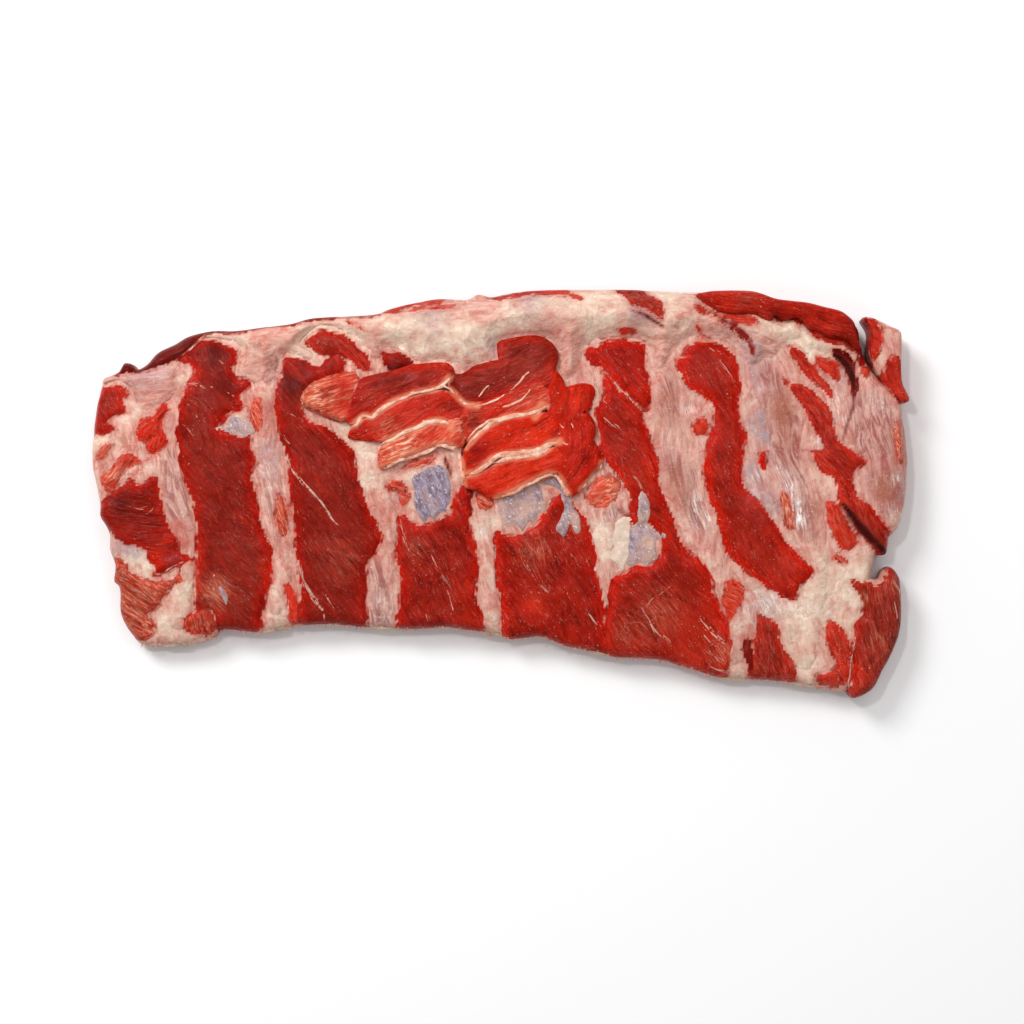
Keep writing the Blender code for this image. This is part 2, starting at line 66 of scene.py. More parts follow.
# The lobes of lean that show from above: the run of their fibres in degrees, how brown their middle is, their
# tone from -1 (dark maroon) through 0 (red) to 1 (orange-red), how pale they are, and their outline.
LEANS = {
    "left_edge": (-65, 0.4, -0.15, 0.02, [(-210, 55), (-203, 57), (-199, 57), (-196, 53), (-198, 47),
        (-194, 43), (-201, 41), (-207, 37), (-203, 34), (-208, 32), (-216, 32), (-216, 44)]),
    "shoulder": (55, 0, 0.55, 0.05, [(-177, 47), (-173, 45), (-178, 35), (-175, 27), (-180, 22), (-186, 22),
        (-184, 27), (-190, 28), (-190, 37), (-182, 42)]),
    "left_nick": (60, 0, 0.1, 0.2, [(-205, 27), (-203, 25), (-208, 19), (-212, 18), (-212, 21)]),
    "left_small": (40, 0.3, -0.1, 0.15, [(-209, 8), (-203, 15), (-198, 21), (-192, 19), (-189, 16),
        (-196, 13), (-198, 10), (-202, 5), (-207, 1)]),
    "lobe_0": (-8, 0.5, -0.45, 0, [(-205, 0), (-200, 4), (-195, 8), (-190, 5), (-182, 9), (-180, 5),
        (-178, 0), (-177, -10), (-174, -17), (-170, -25), (-169, -30), (-162, -35), (-167, -38), (-176, -41),
        (-183, -43), (-181, -38), (-184, -35), (-186, -31), (-192, -28), (-198, -26), (-203, -22),
        (-207, -18), (-212, -10), (-209, -4)]),
    "corner_flap": (-35, 0.4, -0.1, 0.35, [(-206, -34), (-197, -36), (-194, -41), (-186, -46), (-176, -45),
        (-170, -43), (-167, -46), (-172, -48), (-176, -53), (-180, -59), (-186, -65), (-183, -68),
        (-184, -74), (-191, -77), (-202, -72), (-205, -50)]),
    "lower_left": (-70, 0.3, -0.1, 0.2, [(-165, -64), (-155, -60), (-150, -68), (-150, -74), (-158, -75),
        (-166, -72), (-169, -68)]),
    "tatter": (-60, 0.3, -0.2, 0.3, [(-160, -37), (-156, -38), (-151, -44), (-152, -56), (-158, -60),
        (-160, -50)]),
    "behind_cap": (20, 0.1, -1, 0, [(-203, 62.5), (-199, 72), (-192, 69), (-181, 79), (-165, 87), (-153, 90),
        (-150, 86), (-157, 82.5), (-162, 78), (-166, 74), (-171, 70), (-178, 66.5), (-187, 64),
        (-196, 63.5)]),
    "cap_rim": (8, 0.1, -0.75, 0, [(-153, 85.6), (-153, 90), (-125, 92), (-105, 95), (-75, 98), (-62, 99),
        (-66, 93.6), (-85, 92.2), (-105, 90), (-112, 88.2), (-125, 86.8), (-140, 84.8)]),
    "lobe_1": (-52, 0.95, -0.25, 0, [(-170, 70), (-166, 75), (-161, 79), (-155, 81), (-148, 80), (-142, 77.5),
        (-138, 73), (-140, 68), (-140, 62), (-133, 60), (-131, 55), (-137, 51), (-134, 48), (-135, 45),
        (-141, 42), (-144, 40), (-148, 35), (-142, 31), (-136, 29), (-131, 29), (-130, 22), (-128, 15),
        (-131, 10), (-129, 0), (-127.5, -10), (-124, -20), (-121, -27), (-119.5, -35), (-121, -45),
        (-124, -58), (-126, -65), (-129, -75), (-148, -75), (-152, -62), (-160, -63), (-161, -50),
        (-160, -30), (-160, -10), (-163, 0), (-167, 10), (-170, 25), (-170, 35), (-168, 50), (-165, 57),
        (-161, 62), (-163, 68)]),
    "lobe_2": (-52, 0.85, -0.35, 0, [(-113, 72), (-105, 70), (-100, 67.5), (-95, 67), (-92, 72), (-87, 73),
        (-83, 71.5), (-81, 69), (-82, 66), (-86, 62), (-92, 60), (-99, 57), (-103, 50), (-103, 42), (-98, 37),
        (-93, 35), (-88, 32), (-82, 26), (-77, 20), (-75, 10), (-72, 0), (-68, -10), (-64, -18), (-62, -22),
        (-64, -28), (-68, -34), (-71, -42), (-71, -55), (-72, -73), (-103, -73), (-105, -50), (-107, -35),
        (-108, -20), (-109, -5), (-111, 8), (-110, 15), (-113, 22), (-116, 30), (-118, 40), (-119, 50),
        (-117, 58), (-114, 65)]),
    "comma": (-45, 0.5, -0.2, 0.05, [(-104, 79), (-99, 84), (-93, 86.5), (-87, 85), (-80, 81), (-74, 76),
        (-68, 69), (-69, 65), (-75, 66), (-79, 70), (-85, 73), (-93, 73), (-98, 75), (-99, 78)]),
    "wedge": (-30, 0.4, -0.5, 0, [(-62, 74), (-57, 74.5), (-51, 72), (-46, 69), (-51, 66), (-57, 62),
        (-61, 67)]),
    "lobe_3": (-60, 0.5, -0.1, 0, [(-53, -12), (-48, -14), (-42, -17), (-36, -15), (-30, -13), (-26, -10),
        (-24, -2), (-22, 4), (-18, 2), (-16, -8), (-16, -18), (-14, -25), (-12, -35), (-13, -45), (-12, -55),
        (-10, -65), (-12, -76), (-53, -75), (-52, -50), (-53, -40), (-55, -30), (-54, -20)]),
    "lobe_4": (-62, 0.35, 0.05, 0, [(-3, -20), (4, -22), (12, -20), (18, -17), (24, -8), (32, 0), (40, -8),
        (44, -12), (46, -17), (48, -22), (50, -30), (51, -36), (49, -41), (52, -48), (54, -60), (55, -72),
        (53, -88), (4, -80), (1, -62), (-1, -50), (-2, -35)]),
    "chunk": (-55, 0, 0.7, 1, [(12, -59), (18, -59), (26, -60), (30, -67), (31, -75), (27, -78), (20, -73),
        (14, -66)]),
    "lobe_5_upper": (-50, 0.1, -0.05, 0, [(45, 74), (50, 77), (55, 79.5), (62, 80), (70, 79), (76, 77),
        (76, 66), (78, 58), (77.5, 44), (73, 46), (68, 51), (62, 57), (56, 63), (52, 67), (47, 67)]),
    "lobe_5_lower": (-52, 0.45, 0.15, 0, [(53, 65), (57, 62), (62, 55), (68, 49), (74, 43), (75, 35),
        (79, 28), (81, 22), (83, 14), (84, 5), (86, -3), (89, -10), (92, -17), (95, -25), (100, -32),
        (106, -37), (110, -43), (112, -52), (115, -60), (120, -72), (121, -80), (118, -99), (105, -98),
        (90, -93), (70, -91), (54, -88), (56, -62), (59, -45), (64, -42), (70, -38), (78, -38), (84, -32),
        (84, -22), (78, -16), (72, -18), (68, -14), (68, -3), (65, 3), (60, 10), (56, 14), (53, 22), (52, 30),
        (51, 38), (50, 44), (55, 52)]),
    "fringe": (-40, 0, 0.6, 0.2, [(118, -47), (122, -44), (127, -48), (127, -56), (124, -63), (120, -68),
        (117, -60)]),
    "lobe_6": (-58, 0.5, 0.1, 0, [(92, 71), (98, 72), (96, 75), (99, 78), (104, 79.5), (112, 79), (118, 77),
        (123, 73), (125, 62), (126, 55), (124, 48), (126, 38), (129, 30), (127, 22), (126, 12), (127, 5),
        (131, 0), (137, -6), (142, -14), (150, -26), (157, -33), (164, -40), (164, -44), (158, -49),
        (155, -56), (146, -53), (136, -46), (126, -38), (120, -32), (116, -22), (113, -10), (109, 0),
        (106, 12), (108, 22), (111, 35), (111, 47), (106, 51), (99, 55), (95, 62)]),
    "lobe_7_a": (-58, 0, 0.2, 0.05, [(151, 74), (153, 77.5), (158, 74), (163, 69), (168, 62), (173, 55),
        (174, 51), (170, 53), (164, 59), (158, 65)]),
    "lobe_7_b": (-50, 0, 0.4, 0.1, [(166, 72), (171, 70.5), (176, 69), (178, 63), (176, 60), (171, 63),
        (167, 67)]),
    "lobe_7_c": (-55, 0.1, 0.05, 0.05, [(148, 61), (152, 57.5), (158, 57), (163, 55), (168, 50), (173, 44),
        (175, 35), (177, 28), (183, 23), (189, 19), (191, 15), (186, 12), (185, 4), (190, -4), (198, -12),
        (204, -20), (206, -33), (199, -33), (190, -22), (183, -12), (177, -2), (176, 8), (170, 12), (165, 17),
        (164, 22), (170, 24), (168, 29), (163, 36), (160, 44), (155, 50), (150, 56)]),
    "gash": (-60, 0, 0.55, 0.1, [(171, -6), (176, -5), (181, -13), (187, -25), (182, -30), (177, -26),
        (173, -18)]),
    "lower_mid": (-80, 0.3, -0.15, 0.08, [(135, -62), (140, -66), (145, -68), (147, -76), (150, -85),
        (154, -90), (155, -102), (135, -102), (131, -90), (133, -80), (135, -72)]),
    # painted shade: the lean here is darkened to maroon as shade down in this cleft
    "cleft": (-60, 0.2, -0.9, 0, [(130, -76), (127, -84), (130, -92), (134, -100), (136, -96), (133, -88),
        (132, -80)]),
    "lower_right": (-70, 0.2, 0.2, 0.1, [(172, -69), (174, -66), (179, -70), (184, -78), (184, -90),
        (183, -99), (176, -103), (170, -101), (165, -96), (172, -94), (177, -90), (174, -84), (171, -78)]),
    "cap_dark": (-40, 0.3, -0.5, 0.08, [(62, 110), (74, 110), (78, 104), (84, 101), (85, 95), (83, 92),
        (78, 95), (72, 98), (66, 101)]),
    "cap_edge_1": (10, 0, -0.1, 0.1, [(-14, 107), (-4, 104.5), (8, 106.5), (20, 109), (32, 108), (43, 102.5),
        (30, 104), (16, 104.5), (2, 102.5), (-10, 103)]),
    "cap_edge_2": (12, 0.2, -0.2, 0.1, [(-60, 98), (-45, 102), (-30, 105), (-30, 101.8), (-42, 99.5),
        (-58, 95)]),
    "cap_line": (8, 0, 0.3, 0.2, [(-50, 96.5), (-38, 99), (-22, 97.6), (-36, 97)]),
    "cap_spot_1": (0, 0, 0.8, 0.1, [(61, 87), (70, 86), (69, 83.5), (64, 83)]),
    "cap_spot_2": (-50, 0, 0.8, 0.1, [(103, 88), (106, 84), (110, 81.5), (106, 82)]),
    "cap_spot_3": (-30, 0, 0.7, 0.2, [(-81, 90), (-76, 88), (-72, 86.5), (-75, 89.5)]),
    "back_streak_1": (-15, 0.2, -0.2, 0.1, [(101, 97), (104, 98.5), (110, 95), (120, 94), (130, 93),
        (135, 88), (126, 89.5), (114, 92), (106, 94)]),
    "back_streak_2": (-55, 0.2, -0.8, 0, [(114, 91), (120, 89), (127, 85), (132, 78), (134, 72), (129, 79),
        (121, 86)]),
    "back_hem": (-14, 0.3, -0.2, 0.06, [(107, 101), (112, 97.5), (117, 95.5), (122, 95.8), (128, 93.5),
        (134, 95.5), (138, 93), (142, 93.5), (146, 90), (150, 92), (154, 90.5), (157, 87), (160, 88),
        (163, 83.5), (167, 81.5), (171, 81.5), (174, 79.5), (179, 80.5), (184, 76), (189, 74), (190, 80),
        (186, 84), (178, 87), (167, 89), (158, 95), (148, 96), (134, 100), (117, 100)]),
    # painted shade: the lean here is darkened to near black-maroon as shade down in this cleft
    "back_cleft": (-75, 0, -1, 0, [(174, 75), (180, 73.5), (185.5, 68), (187.5, 58), (186, 50), (183, 58),
        (180, 66)]),
    # painted shade: the lean here is darkened as shade in the gap between the back muscle and the end flap
    "flap_gap": (-80, 0, -0.55, 0, [(184, 94), (194, 92), (195, 80), (193.5, 69), (189, 68), (186, 80)]),
    "back_tatter": (-30, 0, 0, 0.1, [(167, 83), (172, 79), (179, 78), (186, 74), (190, 72), (190, 80),
        (180, 83), (172, 84)]),
    "bark_8": (-75, 0, 0.6, 0.7, [(206, 38), (209.5, 34), (210.5, 26), (210, 17), (207.5, 20), (207, 30)]),
    "nick": (-50, 0, 0.1, 0.2, [(175.5, -31), (180, -33), (181, -36), (178, -36), (175, -33.5)]),
    "window_2": (-75, 0, 0, 0.45, [(-118, 0), (-114, -3), (-111, -10), (-112, -20), (-115, -23),
        (-118, -12)]),
    "stain_2": (-60, 0, 0.5, 0.45, [(-131, 47), (-127, 49), (-125, 42), (-126, 33), (-129, 32), (-131, 38)]),
    "strip_2": (-80, 0, 0.7, 0.1, [(-114, -46), (-110, -50), (-107, -60), (-106, -72), (-110, -72),
        (-112, -60)]),
    "curls_3": (-30, 0, 0.3, 0.3, [(-60, 4), (-55, 7), (-50, 5), (-48, -2), (-51, -6), (-54, 1), (-58, 2)]),
    "spot_6": (-70, 0, 0.8, 0.1, [(101, 38), (107, 39), (108, 32), (104, 31), (102, 33)]),
    "spot_7": (-80, 0, 0.8, 0, [(135, 18), (137, 23), (140, 22), (139, 15), (137, 13)]),
    "strap_sliver": (20, 0, 0.7, 0.3, [(-53, 11), (-45, 17.5), (-36, 21), (-32, 21.5), (-37, 17),
        (-45, 13.5)]),
    # painted shade: the lean here is darkened as shade in the gap where the strap's two blocks meet
    "strap_gap": (80, 0, -0.95, 0, [(-22, 40), (-20, 26), (-18.5, 12), (-18, -2), (-16, -12), (-14.5, 0),
        (-16, 20), (-17, 36)]),
    "strap_scrap": (30, 0, 0.7, 0.45, [(45, 0), (52, 8), (60, 9), (64, 5), (60, -3), (56, -6), (47, -5)]),
    "strap_foot": (-20, 0.2, 0.3, 0.5, [(-14, 0), (-8, 0), (-4, -4), (-7, -9), (-13, -7)]),
    "corner_top": (-74, 0.6, -0.3, 0.06, [(184, -46), (193, -47.5), (200, -48), (203, -43), (206, -36),
        (214, -38), (216, -70), (210, -90), (198, -108), (184, -111), (182.5, -104), (185, -98), (186, -90),
        (184.5, -80), (187, -73), (186, -67), (190, -62), (189, -54)]),
    "flap_strip": (-75, 0, 0.05, 0.05, [(192, 92), (198, 90), (201, 84), (200, 76), (196, 70), (193, 77)]),
    "flap_low": (-50, 0, 0.2, 0.05, [(202, 66), (205, 72), (209, 70), (213, 60), (217, 49), (211, 46),
        (205, 53), (200, 60)]),
    "flap_root": (-50, 0, 0.2, 0.1, [(189, 66), (193, 69), (196, 67), (192, 61)]),
    "bark_7": (-75, 0, 0, 0.5, [(147, 0), (149, 1), (152, -8), (153, -18), (150, -17), (148, -8)])}

# The pale parts: where the fat is thick and cream, where the membrane is rosy or grey-violet, where tan bone
# shows through it, and where it glistens (painted white glints there, as well as a wetter coat), as x, y,
# radius and strength. Elsewhere it is a pinkish beige.
CREAM = [(115, -40, 8, 0.7), (-62, -52, 7, 0.3), (178, -55, 10, 0.4), (60, -25, 8, 0.6), (176, -62, 9, 0.5),
    (44, 87, 8, 0.4), (-16, 78, 8, 0.4), (-88, 78, 14, 0.9), (-72, 87, 12, 0.3), (-48, 86, 14, 1),
    (-30, 80, 12, 1), (-12, 80, 11, 1), (8, 92, 12, 0.6), (26, 98, 14, 0.7), (50, 100, 14, 0.9),
    (62, 92, 10, 0.8), (90, 100, 10, 0.8), (92, 88, 9, 0.5), (150, 85, 12, 0.9), (136, 90, 8, 0.5),
    (168, 80, 12, 0.8), (-100, 82, 10, 0.8), (-135, 82, 9, 0.5), (-152, 84, 6, 0.5), (-82, 36, 9, 1),
    (-72, 24, 8, 0.9), (-70, 8, 7, 0.8), (-50, 5, 7, 0.7), (-24, 25, 5, 0.8), (-22, 10, 4, 0.8),
    (-8, -18, 9, 0.9), (-8, -40, 8, 0.5), (-7, -62, 9, 0.6), (30, 8, 6, 0.9), (56, 0, 7, 0.7),
    (56, -25, 10, 1), (53, -60, 7, 0.8), (168, -52, 18, 1), (188, -60, 10, 1), (155, -75, 12, 0.8),
    (160, -92, 10, 0.8), (190, -40, 10, 0.9), (172, 15, 8, 0.9), (170, 0, 7, 0.8), (158, 48, 6, 0.7),
    (196, -5, 5, 0.5), (203, 72, 6, 0.7), (-206, 28, 7, 0.9), (-196, 40, 6, 0.7), (-190, 50, 8, 0.4),
    (-196, -34, 8, 1), (-186, -40, 7, 1), (-166, -52, 9, 1), (-178, -68, 8, 0.8), (-165, -76, 7, 0.6),
    (-120, -62, 8, 0.6), (-125, 50, 6, 0.3), (126, -70, 6, 0.5), (126, -92, 7, 0.6), (140, -60, 7, 0.7),
    (75, 85, 8, 0.4), (182, -104, 5, 0.7)]
ROSY = [(106, -25, 6, 0.3), (205, 78, 5, 0.5), (60, 78, 5, 0.2), (-2, -60, 5, 0.3), (-182, 57, 9, 0.5),
    (-172, -22, 7, 0.8), (-178, 40, 8, 0.4), (-120, 40, 8, 0.5), (-114, -8, 6, 0.7), (42, 62, 9, 0.4),
    (38, 88, 9, 0.25), (140, 62, 9, 0.8), (146, 42, 10, 0.8), (150, 20, 9, 0.5), (195, 38, 12, 0.8),
    (205, 15, 10, 0.8), (204, 0, 9, 0.9), (87, 50, 8, 0.6), (95, 5, 8, 0.3), (206, 76, 6, 0.5),
    (165, -12, 9, 0.4), (-62, -40, 9, 0.2), (24, 88, 10, 0.4), (-56, -4, 6, 0.5), (112, 90, 9, 0.3),
    (-130, 40, 5, 0.6), (122, -60, 7, 0.5), (-168, -18, 5, 0.9), (-166, -26, 4, 0.9), (197, 28, 4, 1),
    (196, 20, 4, 0.9), (153, 28, 5, 0.8), (155, 18, 5, 0.7), (-122, 46, 6, 0.6), (-117, 28, 5, 0.5),
    (88, 2, 4, 0.7), (86, 14, 4, 0.5), (-118, 62, 5, 0.6), (-180, 38, 6, 0.5), (-186, 33, 5, 0.5)]
GREY = [(121, 88.5, 4, 0.8), (127, 83, 4, 0.8), (132, 76, 4, 0.6), (-190, 62, 9, 0.6), (-178, 65, 6, 0.4),
    (-36, 92, 9, 0.6), (16, 101, 9, 0.6), (73, 94, 7, 0.9), (-198, -27, 6, 1), (136, 35, 8, 0.9),
    (131, 12, 6, 0.9), (133, 72, 7, 0.6), (203, 3, 10, 0.6), (140, 55, 8, 0.5), (-122, 22, 7, 0.6),
    (-121, 10, 6, 0.4), (-64, -62, 7, 0.4), (88, 18, 6, 0.4), (180, 60, 6, 0.5), (54, 22, 5, 0.9),
    (137, -4, 8, 0.8), (100, 60, 6, 0.3), (150, -8, 8, 0.4), (138, -58, 8, 0.5), (-3, 77, 5, 0.8),
    (-98, 50, 3, 0.9), (60, -12, 5, 0.3), (-190, -30, 5, 0.8), (140, 42, 4, 0.9), (141, 30, 3.5, 1),
    (142, 20, 3.5, 0.9), (137, 62, 6, 0.7), (188, 50, 5, 0.5), (205, 0, 6, 0.6)]
TAN = [(147, 48, 7, 1), (148, 38, 6, 0.9), (150, 27, 5, 0.5), (149, -4, 4, 1), (151, -12, 3.5, 1),
    (88, 50, 6, 0.8), (87, 38, 5, 0.6), (92, 12, 6, 0.6), (95, 2, 6, 0.6), (98, -8, 5, 0.5), (203, 6, 7, 0.9),
    (199, 0, 5, 0.7), (205, -4, 6, 0.4), (162, -14, 6, 0.6), (165, -6, 5, 0.5), (208, 28, 5, 0.7),
    (209, 20, 4, 0.7), (-115, 42, 4, 0.3), (-165, -20, 5, 0.4), (-114, -10, 4, 0.8), (136, -80, 6, 0.3),
    (40, 66, 5, 0.3), (-195, 52, 6, 0.3), (-208, 20, 5, 0.5), (120, 90, 6, 0.3), (74, 88, 8, 0.4),
    (-118, 70, 5, 0.4), (-50, 92, 8, 0.2), (-70, 84, 5, 0.35), (-125, 76, 6, 0.3), (-38, 93, 6, 0.15)]
PAINTED_GLINTS_AND_GLOSS = [(103, -5, 3.5, 1), (106, -13, 4, 1), (152, 5, 4, 0.9), (154, -4, 4, 1), (157, -14, 4, 1),
    (155, -9, 3, 1), (146, 12, 4, 0.6), (134, 9, 4, 0.5), (131, -3, 5, 0.5), (137, -12, 5, 0.5),
    (143, -58, 7, 0.7), (207, -10, 4, 0.7), (208, 8, 4, 0.5), (176, 48, 5, 0.5), (178, 40, 5, 0.5),
    (168, 28, 4, 0.7), (98, 44, 4, 0.5), (89, 30, 4, 0.5), (199, 46, 5, 0.4), (-62, -60, 6, 0.6),
    (-180, 62, 6, 0.4), (-118, -2, 5, 0.4), (-122, 12, 5, 0.4), (-9, -20, 4, 0.5), (54, -15, 4, 0.5),
    (60, -9, 4, 0.5), (160, -60, 6, 0.3), (132, -64, 5, 0.5), (-172, -35, 4, 0.5), (-52, 0, 4, 0.5)]

# Where the lean is brighter (+) or darker (-), and where pale fibres show through it
TONES = [(-150, 76, 6, -0.3), (112, -2, 5, 0.2), (120, -12, 6, 0.15), (118, 103, 8, 0.3),
    (128, 101, 6, -0.35), (142, 98, 6, -0.3), (152, 99, 5, 0.3), (164, 94, 7, 0.1), (176, 91, 5, 0.2),
    (184, 84, 6, -0.4), (136, 104, 5, 0.3), (198, -60, 9, -0.3), (190, -97, 8, 0.5), (196, -86, 6, 0.35),
    (207, -47, 5, -0.2), (207, -75, 5, -0.5), (118, 22, 7, -0.3), (118, 10, 6, -0.2), (120, 0, 6, -0.15),
    (123, -10, 6, -0.15), (133, -25, 8, 0.15), (104, 70, 9, -0.25), (-163, 76, 7, -0.2), (-40, -50, 9, -0.2),
    (64, -10, 4, -0.5), (62, 48, 5, -0.2), (78, 55, 5, 0.4), (-196, 48, 5, 0.2), (-124, -38, 7, 0.6),
    (-127, -58, 7, 0.3), (-162, -35, 5, 0.3), (-150, 72, 9, -0.45), (-146, 56, 8, -0.6), (-148, 0, 16, -0.3),
    (-109, 58, 9, -0.8), (-100, 70, 6, -0.2), (-106, -20, 4, 0.3), (-106, -50, 4, 0.4), (-76, 5, 5, -0.4),
    (-20, -50, 7, 0.45), (-18, -65, 6, 0.5), (-30, -20, 7, -0.2), (26, -38, 8, -0.35), (17, -58, 6, 0.8),
    (46, -45, 5, -0.4), (36, -76, 6, 0.4), (66, 70, 9, -0.15), (58, 28, 6, -0.5), (78, 12, 6, 0.4),
    (86, -40, 8, -0.35), (104, -72, 12, 0.5), (100, -88, 10, 0.35), (110, 12, 4, 0.7), (113, -12, 4, 0.6),
    (148, -38, 10, 0.35), (156, -46, 5, 0.3), (-200, -8, 7, -0.5), (-180, -33, 6, 1), (-176, -25, 4, 0.6),
    (182, -12, 6, -0.5), (190, -19, 6, -0.5), (197, -26, 6, -0.6), (-60, 60, 7, -0.3), (-20, 45, 4, -0.4),
    (-12, 25, 6, -0.4), (20, 30, 8, 0.3), (-25, 58, 5, -0.3), (-190, -52, 6, 0.2), (150, 58, 4, 0.2),
    (178, 20, 6, -0.2), (142, -85, 6, -0.3), (-75, 46, 5, -0.5), (-50, 62, 9, -0.5), (-62, 60, 6, -0.4),
    (-62, 50, 5, 0.4), (-74, 34, 4, -0.5), (-24, 45, 4, -0.5), (-28, 32, 5, 0.3), (-15, 56, 8, -0.3),
    (24, 62, 5, 0.7), (23, 73, 7, -0.2), (-14, 38, 5, -0.8), (-12, 20, 7, -0.6), (-14, 3, 4, -0.5),
    (44, 20, 6, -0.4), (38, 50, 6, 0.4), (8, 74, 8, -0.2)]
PALLOR = [(130, 103, 5, 0.08), (-99, 48, 5, 0.5), (-82, 57, 6, -0.4), (-80, 45, 5, -0.4), (-55, 24, 6, 0.5),
    (-36, 32, 6, -0.3), (-2, 45, 7, -0.2), (190, -56, 5, 0.25), (206, -49, 4, 0.25), (200, -78, 7, 0.1),
    (84, -62, 10, 0.2), (68, -72, 8, 0.15), (18, -30, 7, 0.3), (-45, -28, 6, 0.15), (-85, -35, 10, 0.1),
    (-150, -52, 7, 0.5), (-206, 12, 8, 0.3), (-60, 36, 6, 0.2), (-52, 24, 7, 0.3), (118, -84, 6, 0.3),
    (-56, 22, 6, 0.3), (18, 50, 6, 0.12), (-98, 50, 5, 0.3), (60, 4, 5, 0.3)]

# Bare bone: the smooth windows where the skin was scraped off a rib
BARE = [
    [(-176, 22), (-171, 22), (-168, 12), (-164.5, 0), (-162, -12), (-164, -17), (-169, -12), (-174, -14),
     (-177, 8)],
    [(-122, 74), (-117, 73), (-116, 66), (-118, 59), (-122, 58), (-124, 65)],
    [(-124, 3), (-120, 0), (-118, -12), (-116.5, -24), (-119, -24), (-122, -12), (-124.5, -4)],
    [(-70, -36), (-62, -38), (-59, -50), (-58, -72), (-71, -72)],
    [(85, 64), (88, 66), (92, 55), (93, 45), (90, 35), (87, 32), (85, 40), (84, 55)],
    [(89, 19), (97, 18), (102, 12), (105, 0), (107, -10), (109, -17), (104, -21), (99, -15), (94, -6),
     (90, 4)],
    [(134, 72), (140, 70), (146, 62), (150, 52), (155, 45), (158, 36), (158, 20), (161, 5), (165, -12),
     (166, -22), (160, -24), (155, -16), (149, -4), (145, 10), (142, 25), (139, 40), (136, 56)],
    [(184, 34), (187, 50), (196, 55), (204, 49), (209, 38), (208, 20), (199, 15), (190, 18)],
    [(193, 13), (203, 16), (211, 13), (213, 5), (208, -3), (204, -15), (200, -10), (196, 0)]]

# The open clefts: their width, how deep they are and how dark their painted shade is, and where they run
CLEFTS = [
    (2.4, 0.65, [(103, 98), (110, 95.5), (117, 91), (124, 87), (129, 81), (132, 74)]),
    (4.6, 1, [(175.5, 73), (180.5, 69), (184, 63), (185.5, 56)]),
    (2.6, 0.7, [(185, 56), (185.5, 48), (183.5, 41), (181, 33), (178.5, 24)]),
    (7, 0.8, [(180, -6), (186, -14), (192, -21), (198, -27), (204, -32)]),
    (3, 0.7, [(67, 96.5), (75, 93.5), (79, 91), (85, 87.5)]),
    (2.8, 0.6, [(54, -10), (62, -9), (67, -13), (69, -20)]),
    (3, 0.7, [(-29.5, 19), (-27.5, 14), (-25.5, 8)])]

CREST = [(0, 20), (0.25, 25), (0.5, 28), (0.75, 28), (0.9, 25), (1, 22)]  # the bones' height, from the cut up
PALE_DROP = 1.8  # the pale seams lie this far below the crest of the bones
LOBE_RISE = 1.4  # and the middle of a lobe this far above the seams
LOBE_EDGE = 3.5  # over this distance from its edge
LOBE_REACH = 9  # the lobes are measured this far from their edges
SEAM_CUT = 0.5  # depth of the furrow round a lobe
CLEFT_CUT = 1.3  # depth of the darkest clefts
SWELLS = [(0.7, 14, 8), (0.35, 6, 9)]  # the soft swells of the lean: height, size and seed
LUMPS = [(0.35, 5, 10), (0.2, 2.6, 11)]  # and the lumps of the fat in the seams
FIBRE_RELIEF = 0.34
STRANDS = [(1, 16, 7, 6), (0.6, 7, 6, 7)]  # share of that relief, length, how slender, and seed
FIBRE_TURN = -52  # the run of the fibres in most lobes
PALE_TURN = -78  # the skin on the bones has its streaks along them
FIBRE_BEND = 3  # and both wander sideways by this much
EDGE_TEAR = 0.8  # the edge of a lobe is torn this deep
SLAB_STEP = 1.4  # between the points of its mesh
EDGE_ROUND = 6  # radius of the slab's upper edge
FOOT_ROUND = 3
BONE_HALF = 8.5  # half of a bone's width where it shows from below
HOLLOW = 1.6  # depth of the hollows between the bones there
RIB_LINES = [
    [(-176, 40, 12), (-172, 10, 12), (-168, -10, 12), (-165, -25, 12), (-167, -45, 9), (-172, -77, 11)],
    [(-121, 82, 11), (-122, 60, 11), (-125, 42, 12), (-121, 18, 13), (-118, -10, 12), (-115, -35, 11),
     (-120, -70, 13)],
    [(-65, 78, 10), (-69, 40, 12), (-72, 25, 13), (-66, 8, 14), (-59, -15, 13), (-61, -35, 14),
     (-62, -71, 17)],
    [(-14, 85, 9), (-12, 30, 9), (-10, -8, 9), (-8, -30, 11), (-6, -55, 11), (-1, -75, 10)],
    [(37, 82, 12), (44, 62, 12), (50, 42, 9), (54, 15, 8), (56, -10, 9), (55, -40, 8), (53, -84, 7)],
    [(84, 88, 13), (87, 55, 17), (92, 30, 18), (97, 5, 18), (104, -20, 19), (114, -40, 17), (122, -60, 16),
     (124, -96, 14)],
    [(133, 82, 15), (139, 60, 19), (146, 35, 26), (151, 8, 25), (157, -14, 24), (166, -32, 20),
     (164, -60, 16), (160, -100, 15)],
    [(192, 56, 17), (197, 35, 27), (200, 8, 25), (200, -14, 18), (197, -26, 11)],
]  # where each bone's middle runs, and the width of its face that shows


def ripple(x, y, size, seed):
    """A smooth random rise and fall between -1 and 1, with lumps about this size across."""
    table = np.random.default_rng(seed).uniform(-1, 1, (64, 64))
    u, v = x / size, y / size
    i, j = np.floor(u).astype(int), np.floor(v).astype(int)
    s, t = u - i, v - j
    s, t = s * s * (3 - 2 * s), t * t * (3 - 2 * t)
    low = table[i % 64, j % 64] * (1 - s) + table[(i + 1) % 64, j % 64] * s
    high = table[i % 64, (j + 1) % 64] * (1 - s) + table[(i + 1) % 64, (j + 1) % 64] * s
    return low * (1 - t) + high * t


def ripples(x, y, waves):
    """The sum of several ripples, each given as height, size and seed."""
    return sum(height * ripple(x, y, size, seed) for height, size, seed in waves)


def fade(low, high, value):
    """0 below low and 1 above high, smooth between them."""
    t = np.clip((value - low) / (high - low), 0, 1)
    return t * t * (3 - 2 * t)


